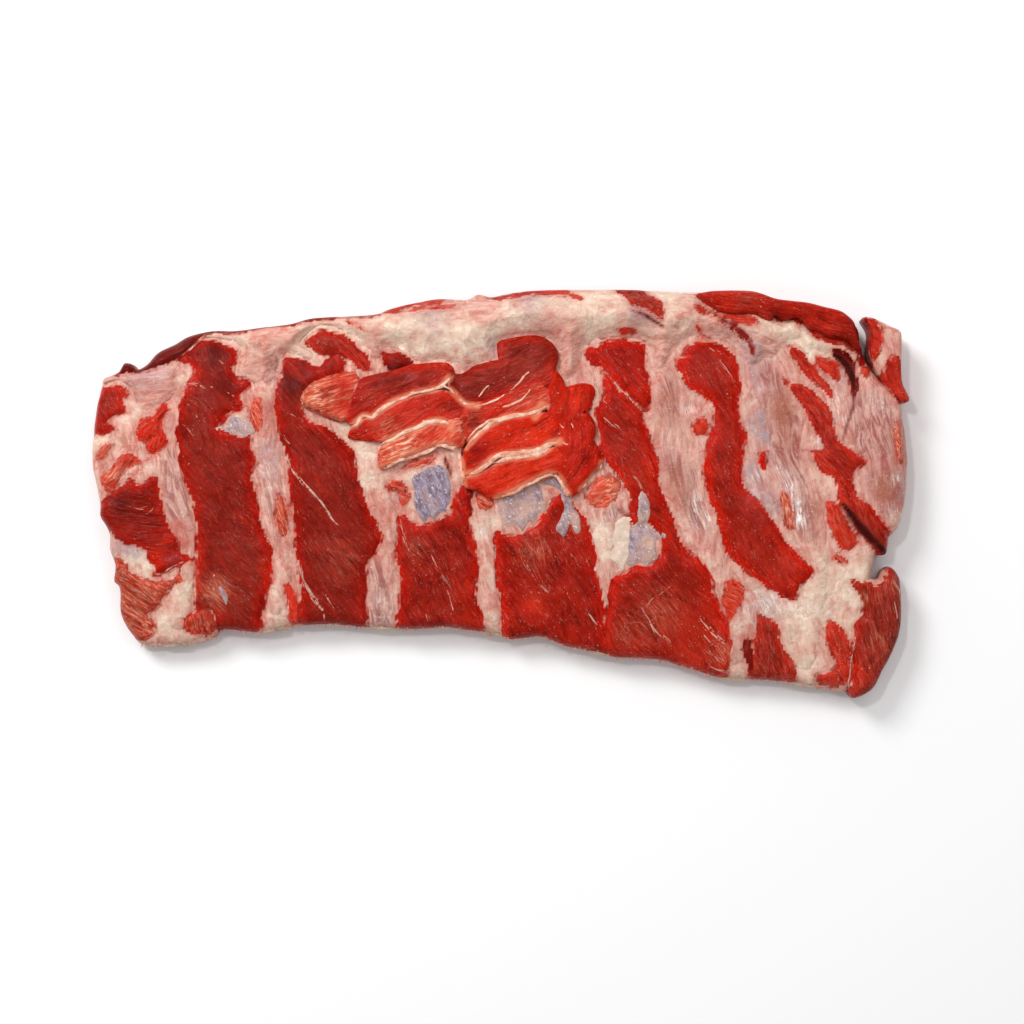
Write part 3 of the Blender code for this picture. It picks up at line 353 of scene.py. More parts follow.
def smooth_line(points, closed, cuts=4):
    """A smooth line through the points, with this many steps between two of them."""
    knots = np.array(points, float)
    if closed:
        before, after, later = np.roll(knots, 1, 0), np.roll(knots, -1, 0), np.roll(knots, -2, 0)
    else:
        padded = np.vstack([2 * knots[0] - knots[1], knots, 2 * knots[-1] - knots[-2]])
        before, knots, after, later = padded[:-3], padded[1:-2], padded[2:-1], padded[3:]
    slope, bend = after - before, 2 * before - 5 * knots + 4 * after - later
    twist = 3 * knots - before - 3 * after + later
    made = [0.5 * (2 * knots + slope * t + bend * t**2 + twist * t**3) for t in np.arange(cuts) / cuts]
    line = np.stack(made, 1).reshape(-1, knots.shape[1])
    return line if closed else np.vstack([line, after[-1]])


def from_line(line, x, y, closed=True, reach=None):
    """Each place's distance to a line, and whether it is inside. Past its reach a place isn't measured."""
    best = np.full(x.shape, (reach or 1e4) ** 2)
    odd = np.zeros(x.shape, bool)
    near = np.ones(x.shape, bool)
    if reach:
        low, high = line.min(0) - reach, line.max(0) + reach
        near = (x > low[0]) & (x < high[0]) & (y > low[1]) & (y < high[1])
    px, py = x[near], y[near]
    nearest, inner = best[near], odd[near]
    ends = np.roll(line, -1, 0) if closed else line[1:]
    for (ax, ay), (bx, by) in zip(line[:, :2], ends[:, :2]):
        run = (bx - ax) ** 2 + (by - ay) ** 2 + 1e-9
        t = np.clip(((px - ax) * (bx - ax) + (py - ay) * (by - ay)) / run, 0, 1)
        nearest = np.minimum(nearest, (px - ax - t * (bx - ax)) ** 2 + (py - ay - t * (by - ay)) ** 2)
        if closed and ay != by:
            inner ^= ((ay > py) != (by > py)) & (px < ax + (py - ay) / (by - ay) * (bx - ax))
    best[near], odd[near] = nearest, inner
    return np.sqrt(best), odd


def depth_in(line, x, y, reach=None):
    """How far inside a closed line each place is, in mm, and negative outside it."""
    distance, inner = from_line(line, x, y, True, reach)
    return np.where(inner, distance, -distance)


def ragged(x, y):
    """The places pushed about a little, so that an edge drawn there is torn and not smooth."""
    return x + EDGE_TEAR * ripple(x, y, 6, 1), y + EDGE_TEAR * ripple(x, y, 6, 3)


def clefts_at(x, y):
    """How deep in a cleft each place is, from 0 to 1. A cleft narrows to its ends."""
    deepest = np.zeros(x.shape)
    for width, dark, line in CLEFTS:
        path = smooth_line(line, False, 6)
        for k, (px, py) in enumerate(path):
            half = 0.5 * width * (0.3 + 0.7 * math.sin(math.pi * (k + 1) / (len(path) + 1)) ** 0.7)
            deepest = np.maximum(deepest, dark * np.exp(-((x - px) ** 2 + (y - py) ** 2) / half**2))
    return deepest


BARE_LINES = [smooth_line(outline, True) for outline in BARE]
LOBE_LINES = {name: smooth_line(outline, True) for name, (*_, outline) in LEANS.items()}


def lobes_at(x, y):
    """At each place: mm inside the nearest lobe of lean, its fibre direction, brownness, tone and pallor."""
    tx, ty = ragged(x, y)
    depth = np.full(x.shape, -float(LOBE_REACH))
    turn, brown, tone, pallor = np.full(x.shape, float(FIBRE_TURN)), *np.zeros((3, *x.shape))
    for name, (angle, *kind, _) in LEANS.items():
        here = depth_in(LOBE_LINES[name], tx, ty, LOBE_REACH)
        closer = here > depth
        depth[closer] = here[closer]
        turn[closer], brown[closer], tone[closer], pallor[closer] = angle, *kind
    return depth, turn, brown, tone, pallor


def spots(places, x, y):
    """The sum of soft round spots at each place, between -1 and 1."""
    total = np.zeros(x.shape)
    for px, py, radius, strength in places:
        total += strength * np.exp(-((x - px) ** 2 + (y - py) ** 2) / radius**2)
    return np.clip(total, -1, 1)


LOWER_EDGE = np.array([(-190, -79), (-150, -75), (-120, -72), (-75, -70), (-18, -72), (20, -76), (52, -84),
                       (95, -91), (130, -98), (182, -105)])
UPPER_EDGE = np.array([(-210, 60), (-187, 68), (-172, 79), (-153, 86), (-97, 93), (-58, 98), (-30, 102),
                       (5, 105), (60, 107), (130, 106), (160, 100), (189, 88)])


def bed(x, y):
    """The height of the pale seams, from which bones, lobes and fat stand up."""
    low, high = np.interp(x, *LOWER_EDGE.T), np.interp(x, *UPPER_EDGE.T)
    share = np.clip((y - low) / (high - low), 0, 1)
    return np.interp(share, *np.array(CREST).T) - PALE_DROP + 0.7 * ripple(x, y, 26, 5)


def along_fibres(x, y, turn):
    """How far along and across the fibres each place is."""
    angle = np.radians(turn)
    return x * np.cos(angle) + y * np.sin(angle), y * np.cos(angle) - x * np.sin(angle)


def strands_at(x, y, turn, waves):
    """The sum of long ripples along the fibres, each given as height, length, how slender, and seed."""
    run, across = along_fibres(x, y, turn)
    return sum(height * ripple(run, across * slender, length, seed)
               for height, length, slender, seed in waves)


def slab_top(x, y, depth, turn):
    """The trimmed face of the slab, with its lobes standing proud of the seams."""
    lobe = LOBE_RISE * fade(-1, LOBE_EDGE, depth)
    furrow = SEAM_CUT * np.exp(-((depth + 0.6) / 1.5) ** 2)
    inner = fade(0, 3, depth)
    flesh = FIBRE_RELIEF * strands_at(x, y, turn, STRANDS) + ripples(x, y, SWELLS)
    relief = inner * flesh + (1 - inner) * ripples(x, y, LUMPS) - CLEFT_CUT * clefts_at(x, y) ** 2
    return bed(x, y) + lobe - furrow + relief


def round_off(depth, radius):
    """How far a rounded edge has fallen at this depth inside the outline."""
    inward = np.clip(1 - depth / radius, 0, 1)
    return radius * (1 - np.sqrt(1 - inward**2))


def body(name, outline, step, top, bottom, rings=1, bulge=0.0):
    """A closed body over an outline: a fine grid trimmed to it, with its own top and bottom heights.

    Returns the object, its points, and how far up the side each is: 1 on the top face and 0 on the bottom.
    """
    line = smooth_line(outline, True)
    low = line.min(0) - step
    cells = np.ceil((line.max(0) + step - low) / step).astype(int) + 1
    along, up = (start + step * np.arange(count) for start, count in zip(low, cells))
    x, y = np.meshgrid(along, up, indexing="ij")
    kept = depth_in(line, x, y) > -0.4 * step
    solid = kept[:-1, :-1] & kept[1:, :-1] & kept[:-1, 1:] & kept[1:, 1:]
    for _ in range(2):  # two cells that meet only at a corner get their neighbours
        cross = solid[:-1, :-1] & solid[1:, 1:] & ~solid[1:, :-1] & ~solid[:-1, 1:]
        other = ~solid[:-1, :-1] & ~solid[1:, 1:] & solid[1:, :-1] & solid[:-1, 1:]
        for i, j in zip(*np.nonzero(cross | other)):
            solid[i:i + 2, j:j + 2] = True
    padded = np.pad(solid, 1)
    used = padded[:-1, :-1] | padded[1:, :-1] | padded[:-1, 1:] | padded[1:, 1:]
    whole = padded[:-1, :-1] & padded[1:, :-1] & padded[:-1, 1:] & padded[1:, 1:]
    rim = used & ~whole
    number = np.full(used.shape, -1)
    number[used] = np.arange(used.sum())

    ends = np.roll(line, -1, 0)
    px, py = x[rim], y[rim]
    best, bx, by = np.full(px.shape, 1e9), px.copy(), py.copy()
    for (ax, ay), (cx, cy) in zip(line, ends):
        run = (cx - ax) ** 2 + (cy - ay) ** 2 + 1e-9
        t = np.clip(((px - ax) * (cx - ax) + (py - ay) * (cy - ay)) / run, 0, 1)
        qx, qy = ax + t * (cx - ax), ay + t * (cy - ay)
        far = (px - qx) ** 2 + (py - qy) ** 2
        closer = far < best
        best[closer], bx[closer], by[closer] = far[closer], qx[closer], qy[closer]
    x[rim], y[rim] = bx, by
    for _ in range(3):  # evens out the cells beside the rim
        for grid in (x, y):
            mean = grid.copy()
            mean[1:-1, 1:-1] = (grid[:-2, 1:-1] + grid[2:, 1:-1] + grid[1:-1, :-2] + grid[1:-1, 2:]) / 4
            grid[whole] = mean[whole]

    i, j = np.nonzero(solid)
    corners = np.stack([number[i, j], number[i + 1, j], number[i + 1, j + 1], number[i, j + 1]], 1)
    count = int(used.sum())
    flat_x, flat_y = x[used], y[used]
    edges = []
    for side, (di, dj) in enumerate([(0, -1), (1, 0), (0, 1), (-1, 0)]):
        open_side = ~padded[i + 1 + di, j + 1 + dj]
        edges.append(np.stack([corners[open_side, side], corners[open_side, (side + 1) % 4]], 1))
    edges = np.vstack(edges)

    outward = np.zeros((count, 2))
    runs = np.stack([flat_x[edges[:, 1]] - flat_x[edges[:, 0]], flat_y[edges[:, 1]] - flat_y[edges[:, 0]]], 1)
    for end in (0, 1):
        np.add.at(outward, edges[:, end], np.stack([runs[:, 1], -runs[:, 0]], 1))
    outward /= np.linalg.norm(outward, axis=1, keepdims=True) + 1e-9

    inner = np.clip(depth_in(line, flat_x, flat_y), 0, None)
    rim_points = np.unique(edges)
    inner[rim_points] = 0
    z_top, z_low = top(flat_x, flat_y, inner), bottom(flat_x, flat_y, inner)
    points = [np.stack([flat_x, flat_y, z_top], 1), np.stack([flat_x, flat_y, z_low], 1)]
    height = [np.ones(count), np.zeros(count)]
    place = np.full(count, -1)
    place[rim_points] = np.arange(len(rim_points))
    levels = [np.arange(count)]
    for ring in range(1, rings):
        share = 1 - ring / rings
        swell = bulge * math.sin(math.pi * share) * (0.6 + 0.4 * ripple(flat_x + 40 * share, flat_y, 9, 12))
        points.append(np.stack([flat_x + outward[:, 0] * swell, flat_y + outward[:, 1] * swell,
                                share * z_top + (1 - share) * z_low], 1)[rim_points])
        height.append(np.full(len(rim_points), share))
        levels.append(2 * count + (ring - 1) * len(rim_points) + place)
    levels.append(np.arange(count) + count)
    faces = [corners, corners[:, ::-1] + count]
    for upper, lower in zip(levels[:-1], levels[1:]):
        p, q = edges[:, 0], edges[:, 1]
        faces.append(np.stack([lower[p], lower[q], upper[q], upper[p]], 1))
    points, faces = np.vstack(points), np.vstack(faces)

    mesh = bpy.data.meshes.new(name)
    mesh.vertices.add(len(points))
    mesh.vertices.foreach_set("co", (points * MM).astype(np.float32).ravel())
    mesh.loops.add(faces.size)
    mesh.loops.foreach_set("vertex_index", faces.astype(np.int32).ravel())
    mesh.polygons.add(len(faces))
    mesh.polygons.foreach_set("loop_start", np.arange(0, faces.size, 4, dtype=np.int32))
    mesh.update(calc_edges=True)
    mesh.validate()
    mesh.shade_smooth()
    made = bpy.data.objects.new(name, mesh)
    bpy.context.scene.collection.objects.link(made)
    return made, points, np.concatenate(height)


def store(piece, **values):
    """Keeps numbers or vectors on the points of a piece, for its material to read."""
    for name, value in values.items():
        kind, key = ("FLOAT_VECTOR", "vector") if value.ndim == 2 else ("FLOAT", "value")
        made = piece.data.attributes.new(name, kind, "POINT")
        made.data.foreach_set(key, value.astype(np.float32).ravel())


def marks(piece, points, **given):
    """Stores what the beef material reads, from the lobes on the trimmed face or from what is given."""
    x, y, z = points.T
    known = dict(zip(("depth", "turn", "brown", "tone", "pallor"), lobes_at(x, y)))
    known.update(skin_turn=PALE_TURN, cleft=clefts_at(x, y))
    known.update({key: np.broadcast_to(np.asarray(value, float), x.shape) for key, value in given.items()})
    for key, places in (("cream", CREAM), ("rosy", ROSY), ("grey", GREY), ("tan", TAN), ("painted_glints_and_gloss", PAINTED_GLINTS_AND_GLOSS)):
        known[key] = spots(places, x, y)
    known.setdefault("ring", np.ones(x.shape))
    known.setdefault("seam", np.zeros(x.shape))
    known["tone"] = np.clip(known["tone"] + spots(TONES, x, y), -1, 1)
    known["pallor"] = np.clip(known["pallor"] + spots(PALLOR, x, y), 0, 1)
    known["bare"] = np.max([fade(-1, 1.2, depth_in(line, x, y, 4)) for line in BARE_LINES], axis=0)
    bend = FIBRE_BEND * np.array([ripple(x, y, 17, 13), ripple(x, y, 21, 14)])
    for field, turn in (("fibre", known.pop("turn")), ("skin", known.pop("skin_turn"))):
        store(piece, **{field: np.stack([*(np.array(along_fibres(x, y, turn)) + bend), z], 1)})
    store(piece, **known)


def shade(code):
    """A colour from its sRGB hex code, in the linear light that shaders take."""
    parts = [int(code[k:k + 2], 16) / 255 for k in (1, 3, 5)]
    return (*(c / 12.92 if c <= 0.04045 else ((c + 0.055) / 1.055) ** 2.4 for c in parts), 1)


def add(tree, kind, inputs=None, out=0, **settings):
    """Adds a node with its settings, and its sockets set or linked by name or number. Returns one output."""
    node = tree.nodes.new(kind)
    for key, value in settings.items():
        setattr(node, key, value)
    for key, value in (inputs or {}).items():
        if isinstance(value, bpy.types.NodeSocket):
            tree.links.new(value, node.inputs[key])
        else:
            node.inputs[key].default_value = value
    return node.outputs[out]


def new_material(name):
    made = bpy.data.materials.new(name)
    made.use_nodes = True
    made.node_tree.nodes.remove(made.node_tree.nodes["Principled BSDF"])
    return made, made.node_tree


def finish_material(tree, inputs):
    shader = add(tree, "ShaderNodeBsdfPrincipled", inputs)
    tree.links.new(shader, tree.nodes["Material Output"].inputs["Surface"])


def share_of(tree, *parts):
    """The product of these shares, which stays between 0 and 1.

    A part is a socket, or a socket with the values at which its share starts and ends to change, then the
    share past that end and before that start where these aren't 1 and 0.
    """
    product = None
    for part in parts:
        if isinstance(part, tuple):
            pattern, start, end, top, bottom = (*part, *(1, 0)[len(part) - 3:])
            part = add(tree, "ShaderNodeMapRange", {
                "Value": pattern, "From Min": start, "From Max": end, "To Min": bottom, "To Max": top})
        product = part if product is None else add(
            tree, "ShaderNodeMath", {0: product, 1: part}, operation="MULTIPLY", use_clamp=True)
    return product


def layer(tree, base, colour, *parts):
    """Lays one colour over another, as far as the product of these shares says."""
    under, over = (shade(tint) if isinstance(tint, str) else tint for tint in (base, colour))
    return add(tree, "ShaderNodeMix", {0: share_of(tree, *parts), 6: under, 7: over}, out=2, data_type="RGBA")


PATTERNS = [  # what carries each pattern, its length and width in mm, detail, roughness and warp
    ("fibre", 18, 3.2, 3, 0.6, 1.2),  # the bundles of muscle fibres
    ("fibre", 8, 1.2, 4, 0.6, 1.2),  # the strands in them
    ("fibre", 4.5, 0.6, 2, 0.6, 0.8),  # and the fibres, drawn as coarse as they need to show
    ("skin", 17, 4.5, 4, 0.6, 1.5),  # the bands in the skin on the bones
    ("skin", 12, 1.9, 3, 0.6, 1.5),  # and its streaks
    ("place", 26, 26, 3, 0.6, 0), ("place", 11, 11, 4, 0.6, 0),  # clouds and patches of tone
    ("place", 8, 8, 3, 0.6, 1), ("place", 6, 6, 1, 0.6, 0),  # the blush of the fat, and how edges waver
    ("place", 4.5, 4.5, 4, 0.65, 0.6), ("place", 2.8, 2.8, 3, 0.65, 0),  # lumps and small tears
    ("place", 1.1, 1.1, 3, 0.7, 0)]  # and the finest grain that shows
MARKS = ("depth", "brown", "tone", "pallor", "cream", "rosy", "grey", "tan", "painted_glints_and_gloss", "bare", "cleft", "seam",
         "ring")
FLAKE = 9  # mm across a flake of fat
FLAKE_WARP = 20
SPONGE = 1.1  # mm across a cell of the marrow
MARROW = 0.7  # share of a bone's width
WET_LEAN, WET_PALE = 0.14, 0.6  # strength of the wet coat on each


def raw_beef(name):
    """Raw beef, freshly cut: wet muscle with its fibres, marbling flecks, firm fat, and bone in its skin.

    Wet muscle is a deep body colour with small sharp glints. Fat is duller and lets some light through.
    """
    made, tree = new_material(name)
    place = add(tree, "ShaderNodeTexCoord", out=3)
    depth, brown, tone, pallor, cream, rosy, grey, tan, painted_glints_and_gloss, bare, cleft, seam, ring = (
        add(tree, "ShaderNodeAttribute", attribute_name=mark, out=2) for mark in MARKS)
    noises = []
    for field, length, width, detail, rough, warp in PATTERNS:
        carrier, unit = place, MM
        if field != "place":
            carrier, unit = add(tree, "ShaderNodeAttribute", attribute_name=field, out=1), 1
        size = add(tree, "ShaderNodeMapping", {
            "Vector": carrier, "Scale": [1 / (mm * unit) for mm in (length, width, width)]})
        noises.append(add(tree, "ShaderNodeTexNoise", {
            "Vector": size, "Scale": 1, "Detail": detail, "Roughness": rough, "Distortion": warp}))
    bundles, strands, fibres, bands, wisps, clouds, patches, blush, waver, mottle, tears, grain = noises

    # Lean or pale: the edge of a lobe wanders, more in some places than in others
    wander = add(tree, "ShaderNodeMath", {0: waver, 1: 2.4, 2: -1.2}, operation="MULTIPLY_ADD")
    feather = add(tree, "ShaderNodeMath", {0: strands, 1: 0.5}, operation="SUBTRACT")
    feather = add(tree, "ShaderNodeMath", {
        0: feather, 1: share_of(tree, (clouds, 0.5, 0.66, 2.4, 0.15))}, operation="MULTIPLY")
    edge = add(tree, "ShaderNodeMath", {0: wander, 1: feather}, operation="ADD")
    edge = add(tree, "ShaderNodeMath", {0: edge, 1: depth}, operation="ADD")
    is_lean = share_of(tree, (edge, -0.2, 0.2))

    # Lean: bright at the rim of a lobe, browner and more fibrous in its middle
    dark = share_of(tree, tone, (clouds, 0.3, 0.6, -1.1, -0.75))
    light = add(tree, "ShaderNodeMath", {0: 1.0, 1: dark}, operation="SUBTRACT")
    coarse = share_of(tree, (patches, 0.4, 0.62, 1, 0.35))
    cut_sheath = layer(tree, "#D66A4A", "#E8BEA2", (strands, 0.48, 0.66))
    lean = layer(tree, "#8C0A01", "#B21200", (patches, 0.36, 0.64))
    for tint, *parts in (
            ("#5E0903", dark),
            ("#DC2804", tone, (patches, 0.3, 0.6, 1.1, 0.7)),
            ("#CC1602", (edge, 5, 0.8), (clouds, 0.38, 0.58, 0.85, 0.1), light),
            ("#78251A", (depth, 1.5, 9), (mottle, 0.25, 0.6, 1, 0.35), brown, light),
            ("#4A0602", (bundles, 0.46, 0.3, 0.6)),
            ("#BE2410", (bundles, 0.54, 0.7, 0.4)),
            ("#480602", (strands, 0.46, 0.3, 0.7), coarse),
            ("#BC4A34", (strands, 0.56, 0.74, 0.55), coarse, light),
            ("#560602", (mottle, 0.44, 0.3, 0.45)),
            ("#CC8C7A", (fibres, 0.6, 0.74, 0.6), (clouds, 0.42, 0.6, 1, 0.1), light),
            # painted highlight: pale flecks on the finest grain, standing in for tiny wet glints on the lean
            ("#D9A494", (grain, 0.62, 0.69, 0.8), (mottle, 0.48, 0.6), light),
            (cut_sheath, pallor, (bundles, 0.35, 0.6, 1.5, 0.5), (strands, 0.36, 0.56, 1, 0.35))):
        lean = layer(tree, lean, tint, *parts)

    # Bone in its skin, and flakes of fat with veins between them
    bone = layer(tree, "#98605A", "#D2A496", (bands, 0.4, 0.6))
    bone = layer(tree, bone, "#A4504C", rosy, (bands, 0.5, 0.4, 0.8, 0.2))
    push = add(tree, "ShaderNodeTexNoise", {"Vector": place, "Scale": 1000 / 12, "Detail": 3}, out=1)
    push = add(tree, "ShaderNodeVectorMath", {0: push, "Scale": FLAKE_WARP * MM}, operation="SCALE")
    warped = add(tree, "ShaderNodeVectorMath", {0: place, 1: push}, operation="ADD")
    flakes, flake_rim = (
        add(tree, "ShaderNodeTexVoronoi", {"Vector": warped, "Scale": 1000 / FLAKE}, feature=feature)
        for feature in ("F1", "DISTANCE_TO_EDGE"))
    flake_tone = add(tree, "ShaderNodeSeparateColor", {0: flakes.node.outputs["Color"]})
    veins = add(tree, "ShaderNodeMath", {0: mottle, 1: 0.5}, operation="SUBTRACT")
    veins = add(tree, "ShaderNodeMath", {0: veins}, operation="ABSOLUTE")

    # Fat and membrane: pinkish beige, cream where it is thick, rosy or grey where it is thin
    creaminess = add(tree, "ShaderNodeMath", {0: patches, 1: 4.0, 2: -2.15}, operation="MULTIPLY_ADD")
    creaminess = add(tree, "ShaderNodeMath", {0: cream, 1: creaminess}, operation="ADD", use_clamp=True)
    thick_fat = layer(tree, "#DABCA4", "#EDDAC4", (mottle, 0.35, 0.6))
    pale = layer(tree, "#BC7868", "#E3B4A4", (bands, 0.36, 0.64))
    for tint, *parts in (
            (thick_fat, creaminess),
            ("#C8988A", flake_tone, (patches, 0.36, 0.56, 0.4, 0.05)),
            ("#AC6C5A", (flake_rim, 0.06, 0, 0.3), (clouds, 0.46, 0.56)),
            ("#C4584C", (blush, 0.54, 0.66), (cream, 0.8, 0, 0.6, 0.08)),
            ("#BA645A", rosy, (mottle, 0.3, 0.6, 1, 0.5)),
            ("#9C8A90", grey, (tears, 0.35, 0.6, 1, 0.3)),
            (bone, bare, (mottle, 0.3, 0.45, 0.9, 0.6)),
            ("#A4604C", tan, (mottle, 0.3, 0.55, 1, 0.5)),
            ("#B45C4C", (veins, 0.02, 0, 0.5), (patches, 0.5, 0.6)),
            ("#F2DDD0", (wisps, 0.58, 0.72, 0.32), (patches, 0.4, 0.6)),
            ("#A04C42", (wisps, 0.42, 0.28, 0.3), (patches, 0.6, 0.4)),
            # painted highlight: near-white flecks on the finest grain, standing in for wet glints on the fat
            # and membrane
            ("#F4E8E0", (grain, 0.6, 0.68, 0.6), (mottle, 0.45, 0.6)),
            # painted highlight: near-white glints where the spots say the membrane glistens
            ("#F6F0EE", painted_glints_and_gloss, (wisps, 0.48, 0.62)),
            ("#C4503C", (edge, -2.4, -0.1), (patches, 0.4, 0.62, 0.85, 0.15), (strands, 0.6, 0.4, 1, 0.4))):
        pale = layer(tree, pale, tint, *parts)

    # A sawn bone: dense pale bone round red spongy marrow
    sponge = add(tree, "ShaderNodeTexVoronoi", {"Vector": place, "Scale": 1000 / SPONGE})
    marrow = layer(tree, "#8E2418", "#C9917C", sponge)
    sawn = layer(tree, marrow, "#D9C3A8", (ring, MARROW, MARROW + 0.08))

    # All of it together, with painted shade in the crevice where lean meets fat and down in the clefts, and
    # the seams
    border = add(tree, "ShaderNodeMath", {0: edge}, operation="ABSOLUTE")
    torn_cleft = share_of(tree, cleft, (mottle, 0.3, 0.6, 1.2, 0.7))
    painted_cleft_shade = layer(tree, "#8A2A20", "#3E0805", (cleft, 0.3, 0.7))
    colour = layer(tree, pale, lean, is_lean)
    # painted shade: a thin dark line in the crevice along the edge of a lobe
    colour = layer(tree, colour, "#7E1E14", (border, 0.6, 0.15, 0.7), (mottle, 0.46, 0.58))
    # painted shade: the clefts darken towards near black as they deepen
    colour = layer(tree, colour, painted_cleft_shade, (torn_cleft, 0.12, 0.7))
    colour = layer(tree, colour, "#DE8464", seam, (patches, 0.35, 0.55, 0.9, 0.5))
    colour = layer(tree, sawn, colour, (ring, 0.99, 1))

    bump = add(tree, "ShaderNodeBump", {"Strength": 0.5, "Distance": 0.3 * MM, "Height": grain})
    fine_strands = add(tree, "ShaderNodeMix", {0: is_lean, 2: wisps, 3: strands})
    domes = add(tree, "ShaderNodeMath", {0: 1.0, 1: flakes}, operation="SUBTRACT")
    for on_pale, on_lean, relief, pattern in (
            (0.4, 0.6, 0.4, fine_strands), (0, 0.7, 0.9, bundles), (0.7, 0.5, 1.1, mottle),
            (0.5, 0, 1.2, domes)):
        bump = add(tree, "ShaderNodeBump", {
            "Strength": share_of(tree, (is_lean, 0, 1, on_lean, on_pale)), "Distance": relief * MM,
            "Height": pattern, "Normal": bump})
    rough = add(tree, "ShaderNodeMath", {
        0: bare, 1: -0.14, 2: share_of(tree, (is_lean, 0, 1, 0.3, 0.4))}, operation="MULTIPLY_ADD")
    wet = share_of(tree, (patches, 0.42, 0.6), (is_lean, 0, 1, WET_LEAN, WET_PALE))
    wet = add(tree, "ShaderNodeMath", {0: wet, 1: painted_glints_and_gloss}, operation="ADD", use_clamp=True)
    finish_material(tree, {
        "Base Color": colour, "Roughness": rough, "Normal": bump, "IOR": 1.4, "Specular IOR Level": 0.06,
        "Subsurface Weight": 0.1, "Subsurface Radius": (1.0, 0.3, 0.2), "Subsurface Scale": 1.0 * MM,
        "Coat Weight": wet, "Coat Roughness": 0.07, "Coat Normal": bump})
    return made


beef = raw_beef("beef_lean")


def face(x, y):
    """The height of the trimmed face, lobes and all."""
    depth, turn, *_ = lobes_at(x, y)
    return slab_top(x, y, depth, turn)


def under_lines(x, y):
    """Distance from each place to the middle of the nearest bone, as seen from below."""
    lines = [smooth_line([p[:2] for p in line], False) for line in RIB_LINES]
    return np.min([from_line(line, x, y, False)[0] for line in lines], axis=0)


def slab_lower(x, y, inner):
    """The inner side, flat where the bones bear on the table and a little hollow between them."""
    hollow = HOLLOW * fade(7, 18, under_lines(x, y)) * fade(0, 14, inner)
    return round_off(inner, FOOT_ROUND) + hollow


slab, points, height = body(
    "lean_slab", RACK, SLAB_STEP, lambda x, y, inner: face(x, y) - round_off(inner, EDGE_ROUND), slab_lower,
    rings=7, bulge=0.5)
x, y, z = points.T
rack_line = smooth_line(RACK, True)
# From below it is lean between the bones, and lean all along the rim. The walls are evenly lean too.
top_depth, _, brown, tone, pallor = lobes_at(x, y)
inner = depth_in(rack_line, x, y, 3)
under = np.minimum(under_lines(x, y) - BONE_HALF, 3) + 9 * fade(2.5, 0.5, np.abs(inner))
side_depth = top_depth + fade(0, 0.3, 1 - height) * (6 - top_depth)
depth = np.where(height == 0, under, np.where(height == 1, top_depth, side_depth))
wall = fade(1, 0.8, height)
marks(slab, points, depth=depth, brown=brown * (1 - wall) + 0.3 * wall,
      tone=tone * (1 - 0.7 * wall) - 0.1 * wall, pallor=pallor * (1 - 0.8 * wall))
slab.data.materials.append(beef)
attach(slab, "root")
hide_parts("meat")

# ---------------------------------------------------------------------------------------------------------
# The bones: eight flat rib bones in their own thin skin, sawn off at the lower edge. Their broad outer faces
# show between the lobes, the saw cut shows a ring of dense bone round red marrow, and the upper ends run in
# under the fat.

BONE_FLATNESS = 0.6
BONE_PROUD = 1.1  # the bones' crests stand this far above the pale seams
BONE_MIN_WIDTH = 15  # a bone is at least this wide, though lobes may hide its sides
SKIN_TO_BONE = 1.15  # and this much wider than its face that shows
CUT_RINGS = [0.98, 0.9, 0.75, MARROW, 0.5, 0.25, 0.03]  # of the saw cut, as shares of the bone's width
CUT_DOME = 0.04  # each ring stands this far out from the one round it
SAW_PROUD = 0.8  # the sawn ends stand this far out of the shrunken lean
SAW_BACK = 3  # a bone turns square to the cut over this last bit
DIVE = 7  # and runs this far down under the fat
DIVE_LENGTH = 30  # at its upper end
SHORT_END = 14  # the eighth bone narrows and sinks to its end over this distance


def cord_tree():
    """Grows a lumpy oval cord along each path, as wide as the path's width attribute says."""
    tree = bpy.data.node_groups.new("cords", "GeometryNodeTree")
    for label, kind in (("Paths", "Geometry"), ("Sides", "Int"), ("Flatness", "Float"), ("Relief", "Float"),
                        ("Lump Size", "Float"), ("Material", "Material")):
        tree.interface.new_socket(label, in_out="INPUT", socket_type="NodeSocket" + kind)
    tree.interface.new_socket("Cords", in_out="OUTPUT", socket_type="NodeSocketGeometry")
    given = tree.nodes.new("NodeGroupInput").outputs
    width = add(tree, "GeometryNodeInputNamedAttribute", {"Name": "width"}, data_type="FLOAT")
    path = add(tree, "GeometryNodeMeshToCurve", {"Mesh": given["Paths"]})
    path = add(tree, "GeometryNodeSetCurveNormal", {"Curve": path}, mode="Z_UP")
    radius = add(tree, "ShaderNodeMath", {0: width, 1: 0.5}, operation="MULTIPLY")
    circle = add(tree, "GeometryNodeCurvePrimitiveCircle", {"Resolution": given["Sides"], "Radius": 1.0})
    oval = add(tree, "GeometryNodeTransform", {
        "Geometry": circle,
        "Scale": add(tree, "ShaderNodeCombineXYZ", {0: 1.0, 1: given["Flatness"], 2: 1.0})})
    cords = add(tree, "GeometryNodeCurveToMesh", {
        "Curve": path, "Profile Curve": oval, "Scale": radius, "Fill Caps": True})
    lumps = add(tree, "ShaderNodeTexNoise", {
        "Vector": add(tree, "GeometryNodeInputPosition"), "Detail": 2,
        "Scale": add(tree, "ShaderNodeMath", {0: 1.0, 1: given["Lump Size"]}, operation="DIVIDE")})
    rise = add(tree, "ShaderNodeMath", {0: lumps, 1: 0.5}, operation="SUBTRACT")
    rise = add(tree, "ShaderNodeMath", {0: rise, 1: given["Relief"]}, operation="MULTIPLY")
    offset = add(tree, "ShaderNodeVectorMath", {
        0: add(tree, "GeometryNodeInputNormal"), "Scale": rise}, operation="SCALE")
    cords = add(tree, "GeometryNodeSetPosition", {"Geometry": cords, "Offset": offset})
    cords = add(tree, "GeometryNodeSetShadeSmooth", {"Geometry": cords})
    cords = add(tree, "GeometryNodeRealizeInstances", {"Geometry": cords})
    cords = add(tree, "GeometryNodeSetMaterial", {"Geometry": cords, "Material": given["Material"]})
    tree.links.new(cords, tree.nodes.new("NodeGroupOutput").inputs["Cords"])
    return tree


